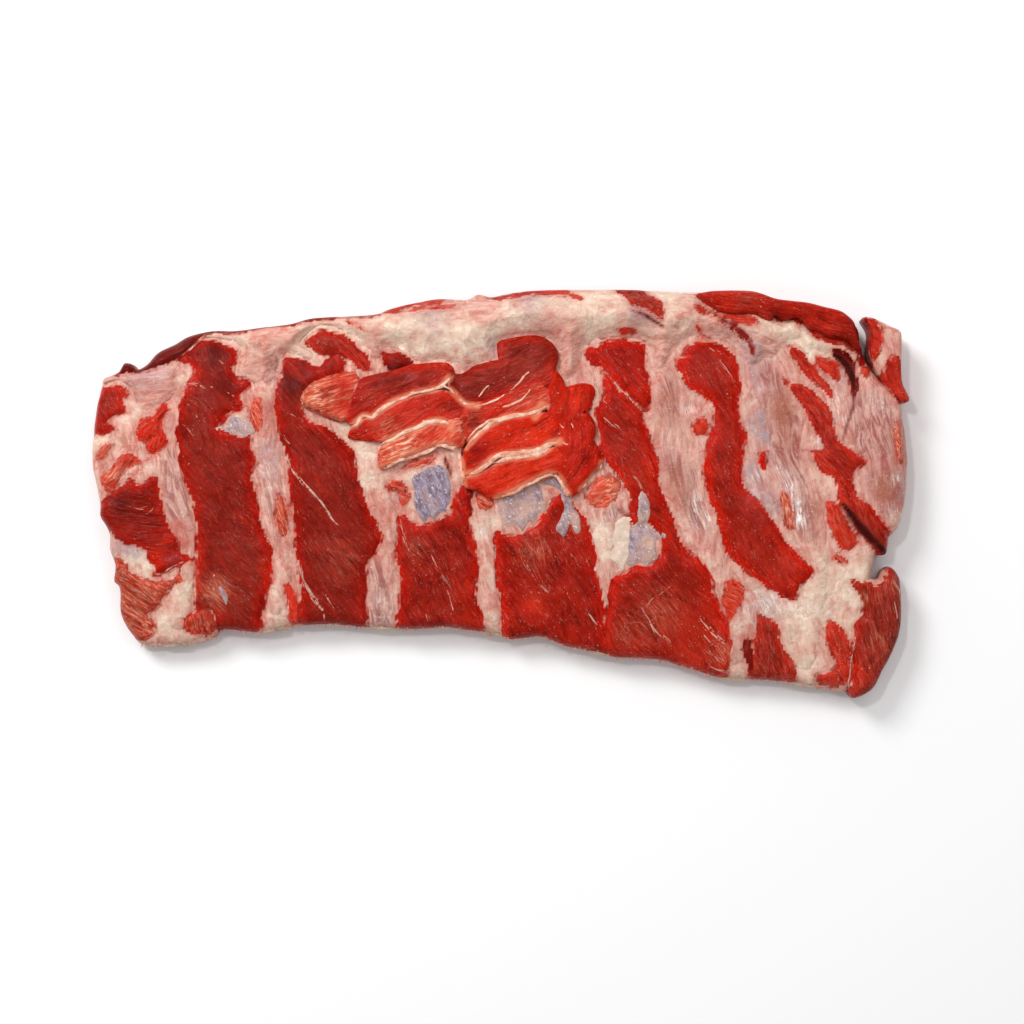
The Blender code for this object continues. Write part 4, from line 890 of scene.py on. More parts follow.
def grow(name, tree, lines, settings):
    """Runs a node tree on paths of x, y, z, width and ring, and keeps the mesh that it makes."""
    rows = np.vstack(lines)
    mesh = bpy.data.meshes.new(name + "_paths")
    edges, start = [], 0
    for line in lines:
        edges += [(start + k, start + k + 1) for k in range(len(line) - 1)]
        start += len(line)
    mesh.from_pydata((rows[:, :3] * MM).tolist(), edges, [])
    made = bpy.data.objects.new(name, mesh)
    store(made, width=rows[:, 3] * MM, ring=rows[:, 4])
    bpy.context.scene.collection.objects.link(made)
    modifier = made.modifiers.new("grow", "NODES")
    modifier.node_group = tree
    for item in tree.interface.items_tree:
        if item.in_out == "INPUT" and item.name in settings:
            modifier[item.identifier] = settings[item.name]
    bpy.context.view_layer.update()
    grown = bpy.data.meshes.new_from_object(made.evaluated_get(bpy.context.evaluated_depsgraph_get()))
    made.modifiers.clear()
    made.data = grown
    bpy.data.meshes.remove(mesh)
    grown.name = name
    return made


def ring_of(piece):
    """Takes the ring values off a piece: 1 on a bone's outside, less towards the middle of its saw cut."""
    ring = np.zeros(len(piece.data.vertices), np.float32)
    piece.data.attributes["ring"].data.foreach_get("value", ring)
    piece.data.attributes.remove(piece.data.attributes["ring"])
    return ring


def places_of(piece):
    """The points of a piece, in millimetres."""
    flat = np.zeros(len(piece.data.vertices) * 3, np.float32)
    piece.data.vertices.foreach_get("co", flat)
    return flat.reshape(-1, 3).T / MM


cords = cord_tree()
bone = raw_beef("rib_bone")
for number, line in enumerate(RIB_LINES, 1):
    name = f"rib_{number}"
    sawn = name != "rib_8"
    path = smooth_line(line, False, 8)[::-1]  # from the saw cut up
    if sawn:
        path = path[depth_in(rack_line, path[:, 0], path[:, 1]) > SAW_BACK]
    width = np.maximum(path[:, 2] * SKIN_TO_BONE, BONE_MIN_WIDTH)
    walk = np.concatenate([[0], np.cumsum(np.hypot(*np.diff(path[:, :2], axis=0).T))])
    z = bed(path[:, 0], path[:, 1]) + BONE_PROUD - width * BONE_FLATNESS / 2
    z -= DIVE * fade(0, DIVE_LENGTH, walk - walk[-1] + DIVE_LENGTH)
    start = path[0, :2]
    away = start - path[1, :2]
    if sawn:  # the saw cut follows the edge of the rack
        z -= round_off(walk, EDGE_ROUND)
        near = np.argmin(np.hypot(*(rack_line - start).T))
        edge = rack_line[(near + 4) % len(rack_line)] - rack_line[near - 4]
        ahead = away / np.hypot(*away)
        away = np.array([edge[1], -edge[0]]) / np.hypot(*edge)
        away *= np.sign(away @ ahead)
        start = start + ahead * depth_in(rack_line, *start[:, None])[0] / (away @ ahead) + away * SAW_PROUD
    else:
        z -= 4 * fade(SHORT_END, 0, walk)
        width *= 0.35 + 0.65 * np.sqrt(fade(0, 12, walk))
    away = away / np.hypot(*away)
    cut = np.array([(*(start + away * CUT_DOME * k), z[0], width[0] * share, share)
                    for k, share in enumerate(CUT_RINGS)])[::-1]
    rows = np.vstack([cut, np.column_stack([path[:, :2], z, width, np.ones(len(path))])])
    last = rows[-1].copy()
    last[3] *= 0.1
    last[:2] += (rows[-1, :2] - rows[-2, :2]) * 0.5
    rib = grow(name + "_bone", cords, [np.vstack([rows, last])], {
        "Sides": 40, "Flatness": BONE_FLATNESS, "Relief": 1.6 * MM, "Lump Size": 7 * MM, "Material": bone})
    marks(rib, places_of(rib).T, ring=ring_of(rib))
    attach(rib, "root")
    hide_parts(name)

# ---------------------------------------------------------------------------------------------------------
# The fat cap: a firm sheet of cream and pink fat along the backbone edge, torn and scraped into lumps, with
# scraps of lean left on it. Its lower edge runs out thin over the bones.

CAP = [(-209, 58), (-203, 60), (-198, 58), (-194, 54), (-190, 44), (-184, 42), (-176, 48), (-171, 52),
    (-168, 60), (-169, 70), (-165, 77), (-160, 80.5), (-154, 82.5), (-147, 81.5), (-140, 79.5), (-136, 74),
    (-138, 67), (-136, 62), (-130, 58), (-127, 52), (-122, 50), (-119, 55), (-116, 62), (-113.5, 73),
    (-106, 72), (-101, 69.5), (-97, 70.5), (-100, 75), (-105, 79), (-100, 86), (-93, 88.5), (-86, 87),
    (-79, 83), (-73, 78), (-67, 71), (-63, 72), (-61, 76), (-56, 76.5), (-50, 74), (-45, 70), (-40, 68),
    (-33, 69), (-27, 67.5), (-20, 62.5), (-14, 65.5), (-7, 68.5), (-1, 70), (-1, 78), (5, 81), (14, 82),
    (22, 82), (28, 78), (30, 70), (30, 61), (35, 57), (41, 62), (43, 70), (44, 76), (50, 79.5), (56, 81.5),
    (64, 82), (72, 81), (78, 77), (79, 68), (83, 62), (88, 66), (91, 72), (95, 77), (99, 80.5), (105, 82),
    (112, 81), (119, 79), (125, 74), (127, 66), (132, 62), (138, 67), (146, 71), (150, 77), (155, 78.5),
    (161, 73), (166, 74.5), (172, 72), (178, 70), (184, 67), (189, 66), (190, 76), (186, 79), (182, 84),
    (178, 83), (172, 84), (167, 85), (162, 89), (158, 92), (155, 94), (148, 93), (144, 95), (134, 99),
    (125, 98), (117, 98), (112, 100), (107, 102), (100, 105), (85, 105.8), (60, 107), (20, 106.5), (5, 104.8),
    (-5, 103), (-18, 101.5), (-30, 102), (-40, 101), (-58, 97), (-65, 94), (-75, 93), (-97, 92), (-105, 90.5),
    (-112, 88.5), (-125, 87), (-140, 85), (-153, 84.5), (-158, 81.5), (-163, 77.5), (-168, 73), (-173, 69),
    (-179, 66.5), (-187, 65), (-196, 63.5), (-203, 62.5), (-209, 60.5)]
CAP_ROOF = [(-209, 25), (-150, 27.5), (-100, 30), (-20, 33), (60, 33.5), (120, 32), (187, 27.5)]
CAP_FOOT = 25.6  # the cap fills the bed up to here
CAP_STEP = 1.1
CAP_EDGE = 20  # the cap thins out over this distance
CAP_TURN = 8
CAP_LUMPS = [(0.9, 13, 21), (0.6, 6, 22), (0.25, 2.6, 23)]  # height, size and seed


def crease(x, y, size, width, seed):
    """1 along winding lines this far apart, and 0 away from them."""
    return np.exp(-(ripple(x, y, size, seed) / width) ** 2)


def cap_top(x, y, inner):
    """The cap's upper face: it rises from its torn edge to the roof, with lumps and folds."""
    roof = np.interp(x, *np.array(CAP_ROOF).T)
    base = bed(x, y) - 0.4
    base += np.clip(CAP_FOOT - base, 0, None) * fade(0, 6, inner)
    folds = 0.35 * crease(x + 3 * ripple(x, y, 8, 24), y, 15, 0.12, 25) + 0.25 * crease(x, y, 7, 0.14, 26)
    relief = (ripples(x, y, CAP_LUMPS) - folds) * fade(-1, 5, inner) - CLEFT_CUT * clefts_at(x, y) ** 2
    return base + (roof - base) * fade(0, CAP_EDGE, inner) ** 0.8 + relief


fat = raw_beef("beef_fat")
cap, points, height = body("cap_fat", CAP, CAP_STEP, cap_top, lambda x, y, inner: bed(x, y) - 3, 3)
marks(cap, points, skin_turn=CAP_TURN)
cap.data.materials.append(fat)
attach(cap, "root")
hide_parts("fat_cap")

# ---------------------------------------------------------------------------------------------------------
# The strap muscle: flat slips of bright lean that lie across the ribs in two blocks, each slip with its own
# thin sheath of fat. Pale seams run between the slips.

SLIPS = {  # brownness, tone, pallor and outline
    "slip_left_1": (0, 0.3, 0.45, [(-102, 54), (-97, 57), (-90, 60), (-83, 62), (-77, 62), (-76, 57),
        (-78, 50), (-80, 43), (-82, 39), (-88, 40), (-95, 43), (-101, 46), (-103, 50)]),
    "slip_left_2": (0.6, 0, 0.03, [(-79, 38), (-78, 46), (-75, 54), (-71, 59), (-63, 61), (-55, 63),
        (-45, 66), (-35, 67), (-27, 66.5), (-27, 62), (-31, 57.5), (-38, 55.5), (-46, 53.5), (-53, 50.5),
        (-60, 46.5), (-65, 42.5), (-71, 42.5), (-75, 38.5)]),
    "slip_left_3": (0.15, 0.3, 0.02, [(-79, 31), (-75, 34.5), (-70, 38), (-65, 38), (-60, 42), (-52, 46.5),
        (-42, 50), (-33, 52), (-26, 51), (-19.5, 46.5), (-19.5, 42), (-26, 40.5), (-33, 39), (-42, 37),
        (-50, 34.5), (-58, 30.5), (-66, 29)]),
    "slip_left_4": (0, 0.65, 0.42, [(-62, 15), (-62, 22), (-58, 25), (-50, 29), (-42, 32.5), (-34, 36),
        (-28, 35.5), (-21, 38.5), (-20, 30), (-22, 25), (-27, 26.5), (-33, 26.5), (-38, 24.5), (-45, 22),
        (-52, 20), (-59, 15.5)]),
    "slip_right_1": (0.8, -0.4, 0.03, [(-26, 61.5), (-20, 60.5), (-15, 64), (-8, 67), (0, 68.5), (0.5, 73),
        (0, 78), (8, 80), (15, 81), (21, 80.5), (26, 77), (28.5, 72), (27, 66), (28, 59), (27, 54),
        (20, 58.5), (12, 57), (5, 53.5), (-3, 50.5), (-11, 48), (-18, 48), (-23, 52), (-25, 56)]),
    "slip_right_2": (0.1, 0.4, 0.12, [(-18.5, 46), (-12, 47.5), (-4, 49.5), (5, 52.5), (12, 56), (20, 57.5),
        (25, 54), (25, 47), (17, 44), (8, 42.5), (0, 41), (-8, 37.5), (-13, 33.5), (-18.5, 28)]),
    "slip_right_3": (0.1, 0.7, 0, [(-18.5, 12), (-17.5, 22), (-12, 29), (-7, 33), (0, 36.5), (6, 38),
        (14, 39), (24, 40.5), (28, 38), (29, 31), (27, 27), (20, 25), (10, 24), (0, 22.5), (-5, 19),
        (-11, 14)]),
    "slip_right_4": (0, 0.8, 0.03, [(-17.5, 5), (-17, 7.5), (-12, 8.5), (-6, 11), (0, 14.5), (9, 16),
        (18, 17.5), (25, 20), (29, 24), (31, 18), (29, 12.5), (24, 9.5), (15, 6.5), (8, 2.5), (0, -0.5),
        (-5, -0.5), (-12, 3)])}
SLIP_SIDE = [(26, 53), (26, 62), (30, 61), (33, 53), (36, 54), (43, 56.5), (47.5, 54), (47, 48), (45, 44.5),
    (40, 42.5), (46, 40), (48, 33), (47, 27.5), (51, 23), (52.5, 17), (48, 13), (44, 8), (39, 0), (35, 4),
    (32, 11), (32, 19), (30, 26), (30, 33), (29, 39), (26, 45)]
SLIP_STEP = 0.9
SLIP_TURN = 22  # the slips' fibres run up to the right
SIDE_TURN = 75  # and those of the side muscle almost straight up
SLIP_GROWTH = 2.0  # the slips press against each other and the seams
SLIP_GROOVE = 0.5  # depth of the groove round a slip
SLIP_STRANDS = [(1, 14, 6, 31), (0.6, 4.5, 2, 32)]  # height, length, how slender, and seed
SLIP_RELIEF = 0.3
STRAP_RISE = 5.2  # the strap's face stands this far above the pale seams
STRAP_EDGE = 4.5  # and rounds down over this distance at its rim
STRAP_BLOCKS = [
    [(-104, 50), (-101, 45), (-88, 39), (-81, 37), (-80, 30), (-66, 27), (-64, 20), (-63, 13), (-57, 14),
     (-45, 19.5), (-33, 24), (-24, 24), (-19, 30), (-18, 46), (-24, 54), (-26, 66), (-35, 68), (-55, 65.5),
     (-71, 62), (-78, 63), (-97, 58)],
    [(-26, 62), (-15, 66), (-5, 69), (-1, 79), (10, 82), (22, 82), (29, 76), (30, 66), (35, 56), (44, 57),
     (49, 54), (47, 44), (50, 34), (49, 26), (54, 17), (48, 11), (39, -1.5), (34, 3), (28, 9), (14, 3),
     (4, -2), (-10, -1), (-18, 3), (-19, 20), (-19, 40), (-23, 52)]]
STRAP_LINES = [smooth_line(outline, True) for outline in STRAP_BLOCKS]


def strap_face(x, y):
    """The height of the strap's upper face."""
    inside = np.max([depth_in(line, x, y, 8) for line in STRAP_LINES], axis=0)
    share = np.sqrt(np.clip(1 - (1 - np.clip((inside + 1) / STRAP_EDGE, 0, 1)) ** 2, 0, 1))
    return bed(x, y) - 0.3 + STRAP_RISE * share + 0.5 * ripple(x, y, 12, 33)


def strap_top(turn):
    """The upper face of a slip whose fibres run this way."""
    def top(x, y, inner):
        groove = SLIP_GROOVE * np.exp(-(inner / 1.1) ** 2)
        return strap_face(x, y) - groove + SLIP_RELIEF * strands_at(x, y, turn, SLIP_STRANDS)
    return top


def grown(outline, by):
    """A closed outline moved outwards by this much."""
    line = smooth_line(outline, True)
    run = np.roll(line, -1, 0) - np.roll(line, 1, 0)
    run /= np.linalg.norm(run, axis=1, keepdims=True)
    after = np.roll(line, -1, 0)
    way = np.sign(np.sum(line[:, 0] * after[:, 1] - after[:, 0] * line[:, 1]))
    return line + by * way * np.column_stack([run[:, 1], -run[:, 0]])


SEAMS = [  # width and path, from left to right
    (2.6, [(-79, 35), (-76, 36), (-72, 40.3), (-67, 40.2), (-62, 44), (-55, 48.4), (-48, 51.2), (-42, 53),
     (-33, 54.8), (-29, 57.5), (-26.5, 61)]),
    (2, [(-31, 56.5), (-26, 54), (-22, 50), (-18.5, 47), (-12, 45.5)]),
    (2.8, [(-63, 25.5), (-57, 28.5), (-50, 32), (-42, 34.8), (-38, 37), (-33, 38), (-28, 37), (-25.5, 34)]),
    (1.6, [(-43, 39.5), (-38, 36.5), (-34, 36)]),
    (3.2, [(-62, 13), (-57, 15.5), (-52, 18), (-45, 20.3), (-38, 22.8), (-33, 25.2), (-28, 25.2), (-24, 23),
     (-21.5, 18), (-20, 10), (-19, 0)]),
    (2.6, [(-48, 12), (-42, 15.5), (-36, 17.5), (-31, 16)]),
    (2.4, [(-18, 24), (-14, 28.5), (-9, 33.5), (-3, 37.5), (4, 40.2), (12, 41.2), (19, 43.5), (24, 45.5)]),
    (1.4, [(-18, 26), (-15, 31), (-10, 35.5), (-5, 38.5), (-1, 39.5)]),
    (3.2, [(-18, 9.5), (-12, 11.5), (-7, 15.5), (-2, 19), (6, 20.8), (14, 21.5), (21, 23), (26, 26),
     (31, 27)]),
    (2.6, [(-4, 16), (4, 18.3), (12, 19), (20, 20.5), (26, 24)]),
    (3, [(-2, -2.5), (5, 0), (12, 3.8), (20, 7.8), (26, 10), (30, 8.6), (33, 4), (36, -3), (40, -12)]),
    (3.4, [(18, 40), (20, 43), (21.5, 46)]),
    (1, [(-16, 45), (-8, 47), (0, 50), (8, 56), (13, 62), (17, 66)]),
    (0.9, [(-13, 48), (-8, 55), (-2, 59), (2, 61)]),
    (1, [(31, 37), (34, 33.5), (38, 34.5), (37, 37)]),
    (1.1, [(30, 29), (34, 26), (39, 26.5), (43, 29)]),
    (2.2, [(42, 2), (47, 7), (51, 12), (53, 16)]),
    (1.2, [(-5, 44), (4, 46), (12, 50), (16, 55)])]
SEAM_LINES = [(width, smooth_line(line, False)) for width, line in SEAMS]


def seams_at(x, y):
    """How near a pale seam each place is, from 0 to 1."""
    return np.max([np.exp(-(from_line(line, x, y, False, 6)[0] / (0.5 * width + 0.5)) ** 4)
                   for width, line in SEAM_LINES if width > 1.8], axis=0)


strap = raw_beef("strap_beef")
for name, (brown, tone, pallor, outline) in [*SLIPS.items(), ("strap_side", (0, 0.35, 0, SLIP_SIDE))]:
    turn = SIDE_TURN if name == "strap_side" else SLIP_TURN
    slip, points, height = body(name + "_lean" * (name in SLIPS), grown(outline, SLIP_GROWTH)[::3], SLIP_STEP,
                                strap_top(turn), lambda x, y, inner: bed(x, y) - 2, 3)
    inner = np.clip(depth_in(smooth_line(outline, True), points[:, 0], points[:, 1]), 0, None)
    depth = inner * 0.8 + (0.2 if name == "slip_left_1" else 1.4)
    marks(slip, points, depth=depth, turn=turn, brown=brown, tone=tone, pallor=pallor,
          seam=seams_at(points[:, 0], points[:, 1]))
    slip.data.materials.append(strap)
    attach(slip, "root")
    if name in SLIPS:
        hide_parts(name)


def sheath(name, low, high, tint):
    """Thin connective tissue: a pale, tough, slightly glossy skin or cord."""
    made, tree = new_material(name)
    place = add(tree, "ShaderNodeTexCoord", out=3)
    patches, grain = (
        add(tree, "ShaderNodeTexNoise", {
            "Vector": place, "Scale": 1000 / size, "Detail": detail, "Roughness": rough})
        for size, detail, rough in ((4, 4, 0.6), (1.2, 3, 0.7)))
    colour = layer(tree, low, high, (patches, 0.4, 0.6))
    colour = layer(tree, colour, tint, (grain, 0.55, 0.75, 0.6))
    fine = add(tree, "ShaderNodeBump", {"Strength": 0.5, "Distance": 0.3 * MM, "Height": grain})
    folds = add(tree, "ShaderNodeBump", {
        "Strength": 0.6, "Distance": 1.2 * MM, "Height": patches, "Normal": fine})
    finish_material(tree, {
        "Base Color": colour, "Roughness": 0.4, "Normal": folds, "IOR": 1.4, "Specular IOR Level": 0.3,
        "Subsurface Weight": 0.08, "Subsurface Radius": (1.0, 0.5, 0.35), "Subsurface Scale": 0.8 * MM})
    return made


def lay(width, line, height_at, shift=0.0, seed=43):
    """A path on the trimmed face that tapers to its ends, as rows of x, y, z, width and ring."""
    path = smooth_line(line, False, 6)
    run = np.gradient(path, axis=0)
    run /= np.linalg.norm(run, axis=1, keepdims=True)
    x, y = path[:, 0] - shift * run[:, 1], path[:, 1] + shift * run[:, 0]
    walk = np.concatenate([[0], np.cumsum(np.hypot(np.diff(x), np.diff(y)))])
    x = x + 0.5 * ripple(x, y, 4, seed - 2)
    y = y + 0.5 * ripple(x, y, 4, seed - 1)
    taper = np.sqrt(fade(-0.2, 8, walk) * fade(-0.2, 8, walk[-1] - walk))
    uneven = (0.3 if shift == 0 else 0.8) * ripple(walk + 7 * shift, y, 5, seed)
    share = taper * np.clip(0.85 + uneven, 0.1, None)
    return np.column_stack([x, y, height_at(x, y), width * share, np.ones(len(x))])


seam_skin = sheath("seam_fat", "#D4886E", "#EBC6AE", "#C25E46")
seams = grow("strap_seams", cords, [
    lay(width * 0.95, line, lambda x, y, width=width: strap_face(x, y) - 0.17 * width + 0.15)
    for width, line in SEAMS], {
        "Sides": 12, "Flatness": 0.38, "Relief": 1.2 * MM, "Lump Size": 3 * MM, "Material": seam_skin})
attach(seams, "root")

# ---------------------------------------------------------------------------------------------------------
# The silver skin: thin wet sheets of connective tissue left on the lean, violet-grey where they are clean and
# cream where fat clings, with torn edges.

SILVER = {  # how grey each is, how far it stands up, and its outline
    "silver_window": (1, 0.5, [(-47, 8), (-42, 12), (-36, 15), (-32.5, 16), (-29, 13), (-26.5, 8), (-25.5, 0),
        (-27, -8), (-30, -11), (-33, -12), (-35, -15), (-37.5, -12.5), (-40, -16), (-42.5, -12), (-45, -8),
        (-46, 0)]),
    "silver_pad": (0.4, 0.5, [(0, 0), (6, 2), (12, 4), (19, 6), (22, 1), (24, -8), (20, -11), (18, -17),
        (15, -15), (12, -20), (8, -17), (4, -21), (1, -15), (-2, -8)]),
    "silver_arch": (0.55, 1, [(21, 5), (25, 9), (31, 8.5), (35, 4), (38, -4), (41, -12), (42, -19), (39, -21),
        (37, -16), (35.5, -19), (33.5, -24), (30, -20), (29, -17), (32, -12), (33, -6), (30, 2), (26, 4)]),
    "cream_pad": (-0.3, 0.5, [(50, -18), (57, -16), (63, -13), (67, -12), (69.5, -15), (69, -24), (67.5, -33),
        (64, -41), (61, -37), (58, -36), (55.5, -44), (54, -57), (51.5, -50), (50, -42), (47.5, -40),
        (50, -36), (50, -28), (47.5, -22)]),
    "silver_star": (0.45, 0.5, [(67, -17), (71, -15), (71.5, -8), (73.5, 2), (76, 0), (79, -8), (78, -13),
        (80, -18), (87, -22), (82, -26), (83, -34), (79, -37), (76, -40), (73, -37), (69, -39), (66, -34)]),
    "silver_leaf": (0.35, 0.3, [(-150, 34), (-145, 36), (-142, 40), (-136, 41), (-131, 39), (-129, 32),
        (-135, 29), (-141, 30.5)]),
    "silver_scrap": (0.9, 0.3, [(-152, -42), (-148, -46), (-144.5, -52), (-143, -58), (-145.5, -58.5),
        (-148.5, -52)])}
SILVER_STEP = 0.8
SILVER_TURN = -65  # the crinkles run this way
SILVER_CRINKLE = (7, 1.6, 1.6)  # and are this long and wide


def silver_skin():
    """Silver skin: a wet fibrous sheet, with crinkles that catch the light."""
    made, tree = new_material("silver_skin")
    grey, rim = (add(tree, "ShaderNodeAttribute", attribute_name=mark, out=2) for mark in ("grey", "rim"))
    place = add(tree, "ShaderNodeTexCoord", out=3)
    turned = add(tree, "ShaderNodeMapping", {
        "Vector": place, "Rotation": (0, 0, math.radians(SILVER_TURN)),
        "Scale": [mm * MM for mm in SILVER_CRINKLE]}, vector_type="TEXTURE")
    crinkles = add(tree, "ShaderNodeTexNoise", {"Vector": turned, "Scale": 1, "Detail": 3, "Distortion": 1.0})
    patches, grain = (
        add(tree, "ShaderNodeTexNoise", {
            "Vector": place, "Scale": 1000 / size, "Detail": detail, "Roughness": rough})
        for size, detail, rough in ((9, 4, 0.6), (1.4, 3, 0.7)))
    violet = layer(tree, "#6C5868", "#A392A2", (crinkles, 0.35, 0.65))
    cream = layer(tree, "#C49C8C", "#D9BFAB", (grey, 0.1, -0.2))
    clean = add(tree, "ShaderNodeMath", {0: patches, 1: 3.0, 2: -1.5}, operation="MULTIPLY_ADD")
    clean = add(tree, "ShaderNodeMath", {0: clean, 1: grey}, operation="ADD", use_clamp=True)
    colour = layer(tree, cream, violet, clean, (rim, 0.1, 0.9))
    # painted highlight: near-white flecks on the grain, standing in for glints off the wet sheet
    colour = layer(tree, colour, "#EDE2E2", (grain, 0.58, 0.66, 0.7))
    fine = add(tree, "ShaderNodeBump", {"Strength": 0.7, "Distance": 0.35 * MM, "Height": grain})
    folds = add(tree, "ShaderNodeBump", {
        "Strength": 0.8, "Distance": 0.7 * MM, "Height": crinkles, "Normal": fine})
    finish_material(tree, {
        "Base Color": colour, "Roughness": 0.3, "Normal": folds, "IOR": 1.4, "Specular IOR Level": 0.4})
    return made


silver = silver_skin()
for name, (greyness, rise, outline) in SILVER.items():
    line = smooth_line(outline, True, 5)
    torn = line + 0.7 * np.column_stack([ripple(*line.T, 2.2, 51), ripple(*line.T, 2.2, 52)])

    def skin_top(x, y, inner):
        wrinkle = 0.35 * ripple(x * 2, y, 6, 53) + 0.25 * ripple(x, y, 2.5, 54)
        return face(x, y) + rise - (rise + 0.2) * np.exp(-inner / 0.7) + wrinkle

    sheet, points, height = body(name, torn[::2], SILVER_STEP, skin_top, lambda x, y, inner: bed(x, y) - 1, 2)
    store(sheet, grey=np.full(len(points), greyness),
          rim=np.clip(depth_in(line, points[:, 0], points[:, 1]), 0, None))
    sheet.data.materials.append(silver)
    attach(sheet, "root")

# ---------------------------------------------------------------------------------------------------------
# The sinews: tough pale threads in the lean, tapered to their ends, and the streaks where a sheath between
# two muscles was cut across. They lie half sunk in the face.

SINEWS = [  # width and path
    (1.15, [(-113, 21), (-108, 11), (-105, 7), (-100, 2), (-96, -3), (-91, -9), (-87, -15), (-83, -19)]),
    (1.5, [(-108, -25), (-106, -38), (-104, -46), (-101, -51), (-97, -57), (-94, -62), (-93, -67)]),
    (1, [(-93, -49), (-90, -57), (-87, -63)]), (1.3, [(-202, 3), (-199, 8), (-194, 11), (-189, 9.5)]),
    (1.6, [(-186, -42), (-178, -42), (-170, -38), (-165, -36)]), (1.5, [(56, 63), (62, 56), (67, 51),
    (73, 44)]), (1.3, [(187.6, -73), (186, -80), (184.6, -86), (184, -95), (184, -104)])]
STREAKS = [(1.2, [(-150, 71), (-143, 67), (-135, 63)]), (1.3, [(-146, 54.5), (-140, 51), (-134, 48)]),
    (1.6, [(-165, 57), (-160, 58), (-156, 55), (-150, 55.5)]), (2, [(-161, 44), (-158.5, 39), (-154.5, 37)]),
    (1.5, [(-167, 39), (-163, 33), (-159, 28)]), (1.3, [(-113, 43), (-108, 41), (-103, 37.5)]),
    (1.6, [(-114, 31), (-110, 26), (-105.5, 22)]), (1, [(-117, 53), (-114.5, 48.5)]), (1.4, [(-181, -6),
    (-185, -10), (-188, -11)]), (1.2, [(-196, -6), (-190, -8), (-183, -7)]), (1.3, [(-150, -46), (-146, -52),
    (-140, -59)]), (1.2, [(70, 47), (74, 43), (77, 40)]), (1.6, [(52, 42), (57, 37), (61, 34.5), (64, 29.5)]),
    (1.2, [(52, 51), (57, 46), (58, 44)]), (1.1, [(64, 71), (69, 67), (75, 63)]), (1.6, [(66, 11), (71, 8.5),
    (74, 1), (75, -5)]), (1.7, [(73, -58), (78, -66), (82, -73), (87, -77), (92, -83)]), (1.4, [(74, -61),
    (82, -54), (92, -47)]), (2.4, [(104, -64), (108, -70), (113, -75), (119, -80)]), (2.4, [(107, -80),
    (113, -86), (121, -92)]), (2.2, [(105, -72), (109, -77), (115, -81)]), (2, [(109, -90), (115, -93),
    (121, -95.5)]), (2, [(108, -67), (112, -72), (118, -76)]), (1.8, [(206.5, -62), (206, -73), (202, -84),
    (198, -93)]), (1.4, [(200, -52), (203, -62), (201, -74)]), (1.2, [(192, -70), (196, -80), (195, -90)]),
    (1.6, [(206, -45), (209, -50), (210, -57)]), (1.4, [(107, 79), (112, 75), (117, 72)]), (1, [(114, 71),
    (120, 63), (124, 57)]), (1.5, [(-54, -10), (-51, -20), (-48, -30), (-46, -37)]), (1, [(-38, -28),
    (-33, -40), (-25, -52)]), (1.6, [(-30, -46), (-27, -54), (-24.5, -64)]), (1.8, [(-42, -58), (-39.5, -62),
    (-38, -68)]), (1.4, [(11, -33), (16, -41), (21, -48), (26, -53)]), (1.8, [(34.5, -47), (34.5, -51),
    (36, -56)]), (1.8, [(44, -59), (48, -66), (55, -73)]), (1, [(11, -45), (14, -50), (19, -54)]),
    (1.4, [(192, -95), (196, -89), (200, -83)]), (1, [(207, -56), (208, -66), (204, -76)]), (1.6, [(139, 45),
    (141, 36), (140, 26)]), (1.8, [(88, 70), (92, 58), (97, 52)]), (1.2, [(84, 60), (84, 48), (86, 36)]),
    (1.4, [(-117, 3), (-113, -4), (-111, -14), (-113, -26)]), (1.2, [(-119, 2), (-122, -8), (-119, -22),
    (-115, -30)]), (1.3, [(150, 82), (158, 84), (165, 80), (172, 79)]), (1.4, [(-206, 25), (-198, 29),
    (-191, 33), (-184, 37)])]


def sunk(width):
    """The height of a thread's middle when it lies half in the flesh."""
    return lambda x, y: face(x, y) - 0.12 * width


# Each is a main thread with a thinner one on either side, which starts or ends a little short of it: their
# share of the width, how far to the side they lie, and the part of the line that they follow
STRAND_SET = [(1, 0, slice(0, None)), (0.6, 0.5, slice(1, None)), (0.5, -0.45, slice(0, -1))]
for name, lines, share, skin in (
        ("sinews", SINEWS, 0.85, sheath("sinew", "#B87868", "#D2A898", "#A05848")),
        ("streaks", STREAKS, 0.5, sheath("streak", "#B46E5C", "#CC9A88", "#A04838"))):
    paths = [lay(width * share * size, line[part], sunk(width * share * size), width * side, 43 + k)
             for width, line in lines for k, (size, side, part) in enumerate(STRAND_SET)
             if len(line[part]) > 1]
    threads = grow(name, cords, paths, {
        "Sides": 6, "Flatness": 0.4, "Relief": 0.4 * MM, "Lump Size": 2 * MM, "Material": skin})
    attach(threads, "root")

# ---------------------------------------------------------------------------------------------------------
# The loose ends: the dark muscle that lies on the backbone edge, the flap beyond the cleft at its end, and
# the muscle that curls up at the lower right corner.

BACK_MUSCLE = [(103, 104.5), (108, 105.8), (115, 106.2), (130, 106), (137, 104.5), (145, 101.7), (160, 100),
    (170, 97.5), (177, 95.8), (181, 93.5), (185, 89.5), (186.5, 84), (188.5, 78), (189.5, 74.5), (186, 76.5),
    (182.5, 80), (178, 81.5), (172, 82.3), (166, 85.2), (161, 87), (158.5, 90.5), (155, 92.5), (151, 91.3),
    (147, 91.8), (144, 93.5), (142, 90.5), (138, 90.6), (134, 93.2), (129, 94.3), (123, 94.2), (117, 94.8),
    (112, 97), (107, 100.5)]
BACK_LOW = [(103, 103), (113, 96), (128, 94), (140, 91), (155, 92), (166, 85.5), (180, 80), (190, 75)]
END_FLAP = [(191, 92.4), (195, 92.6), (199, 91), (205, 88), (210, 85.5), (211, 80), (211, 60), (215, 50.5),
    (213, 48), (207, 51), (203, 56), (199, 62), (196, 68), (194, 74), (194.8, 80), (194.5, 86)]
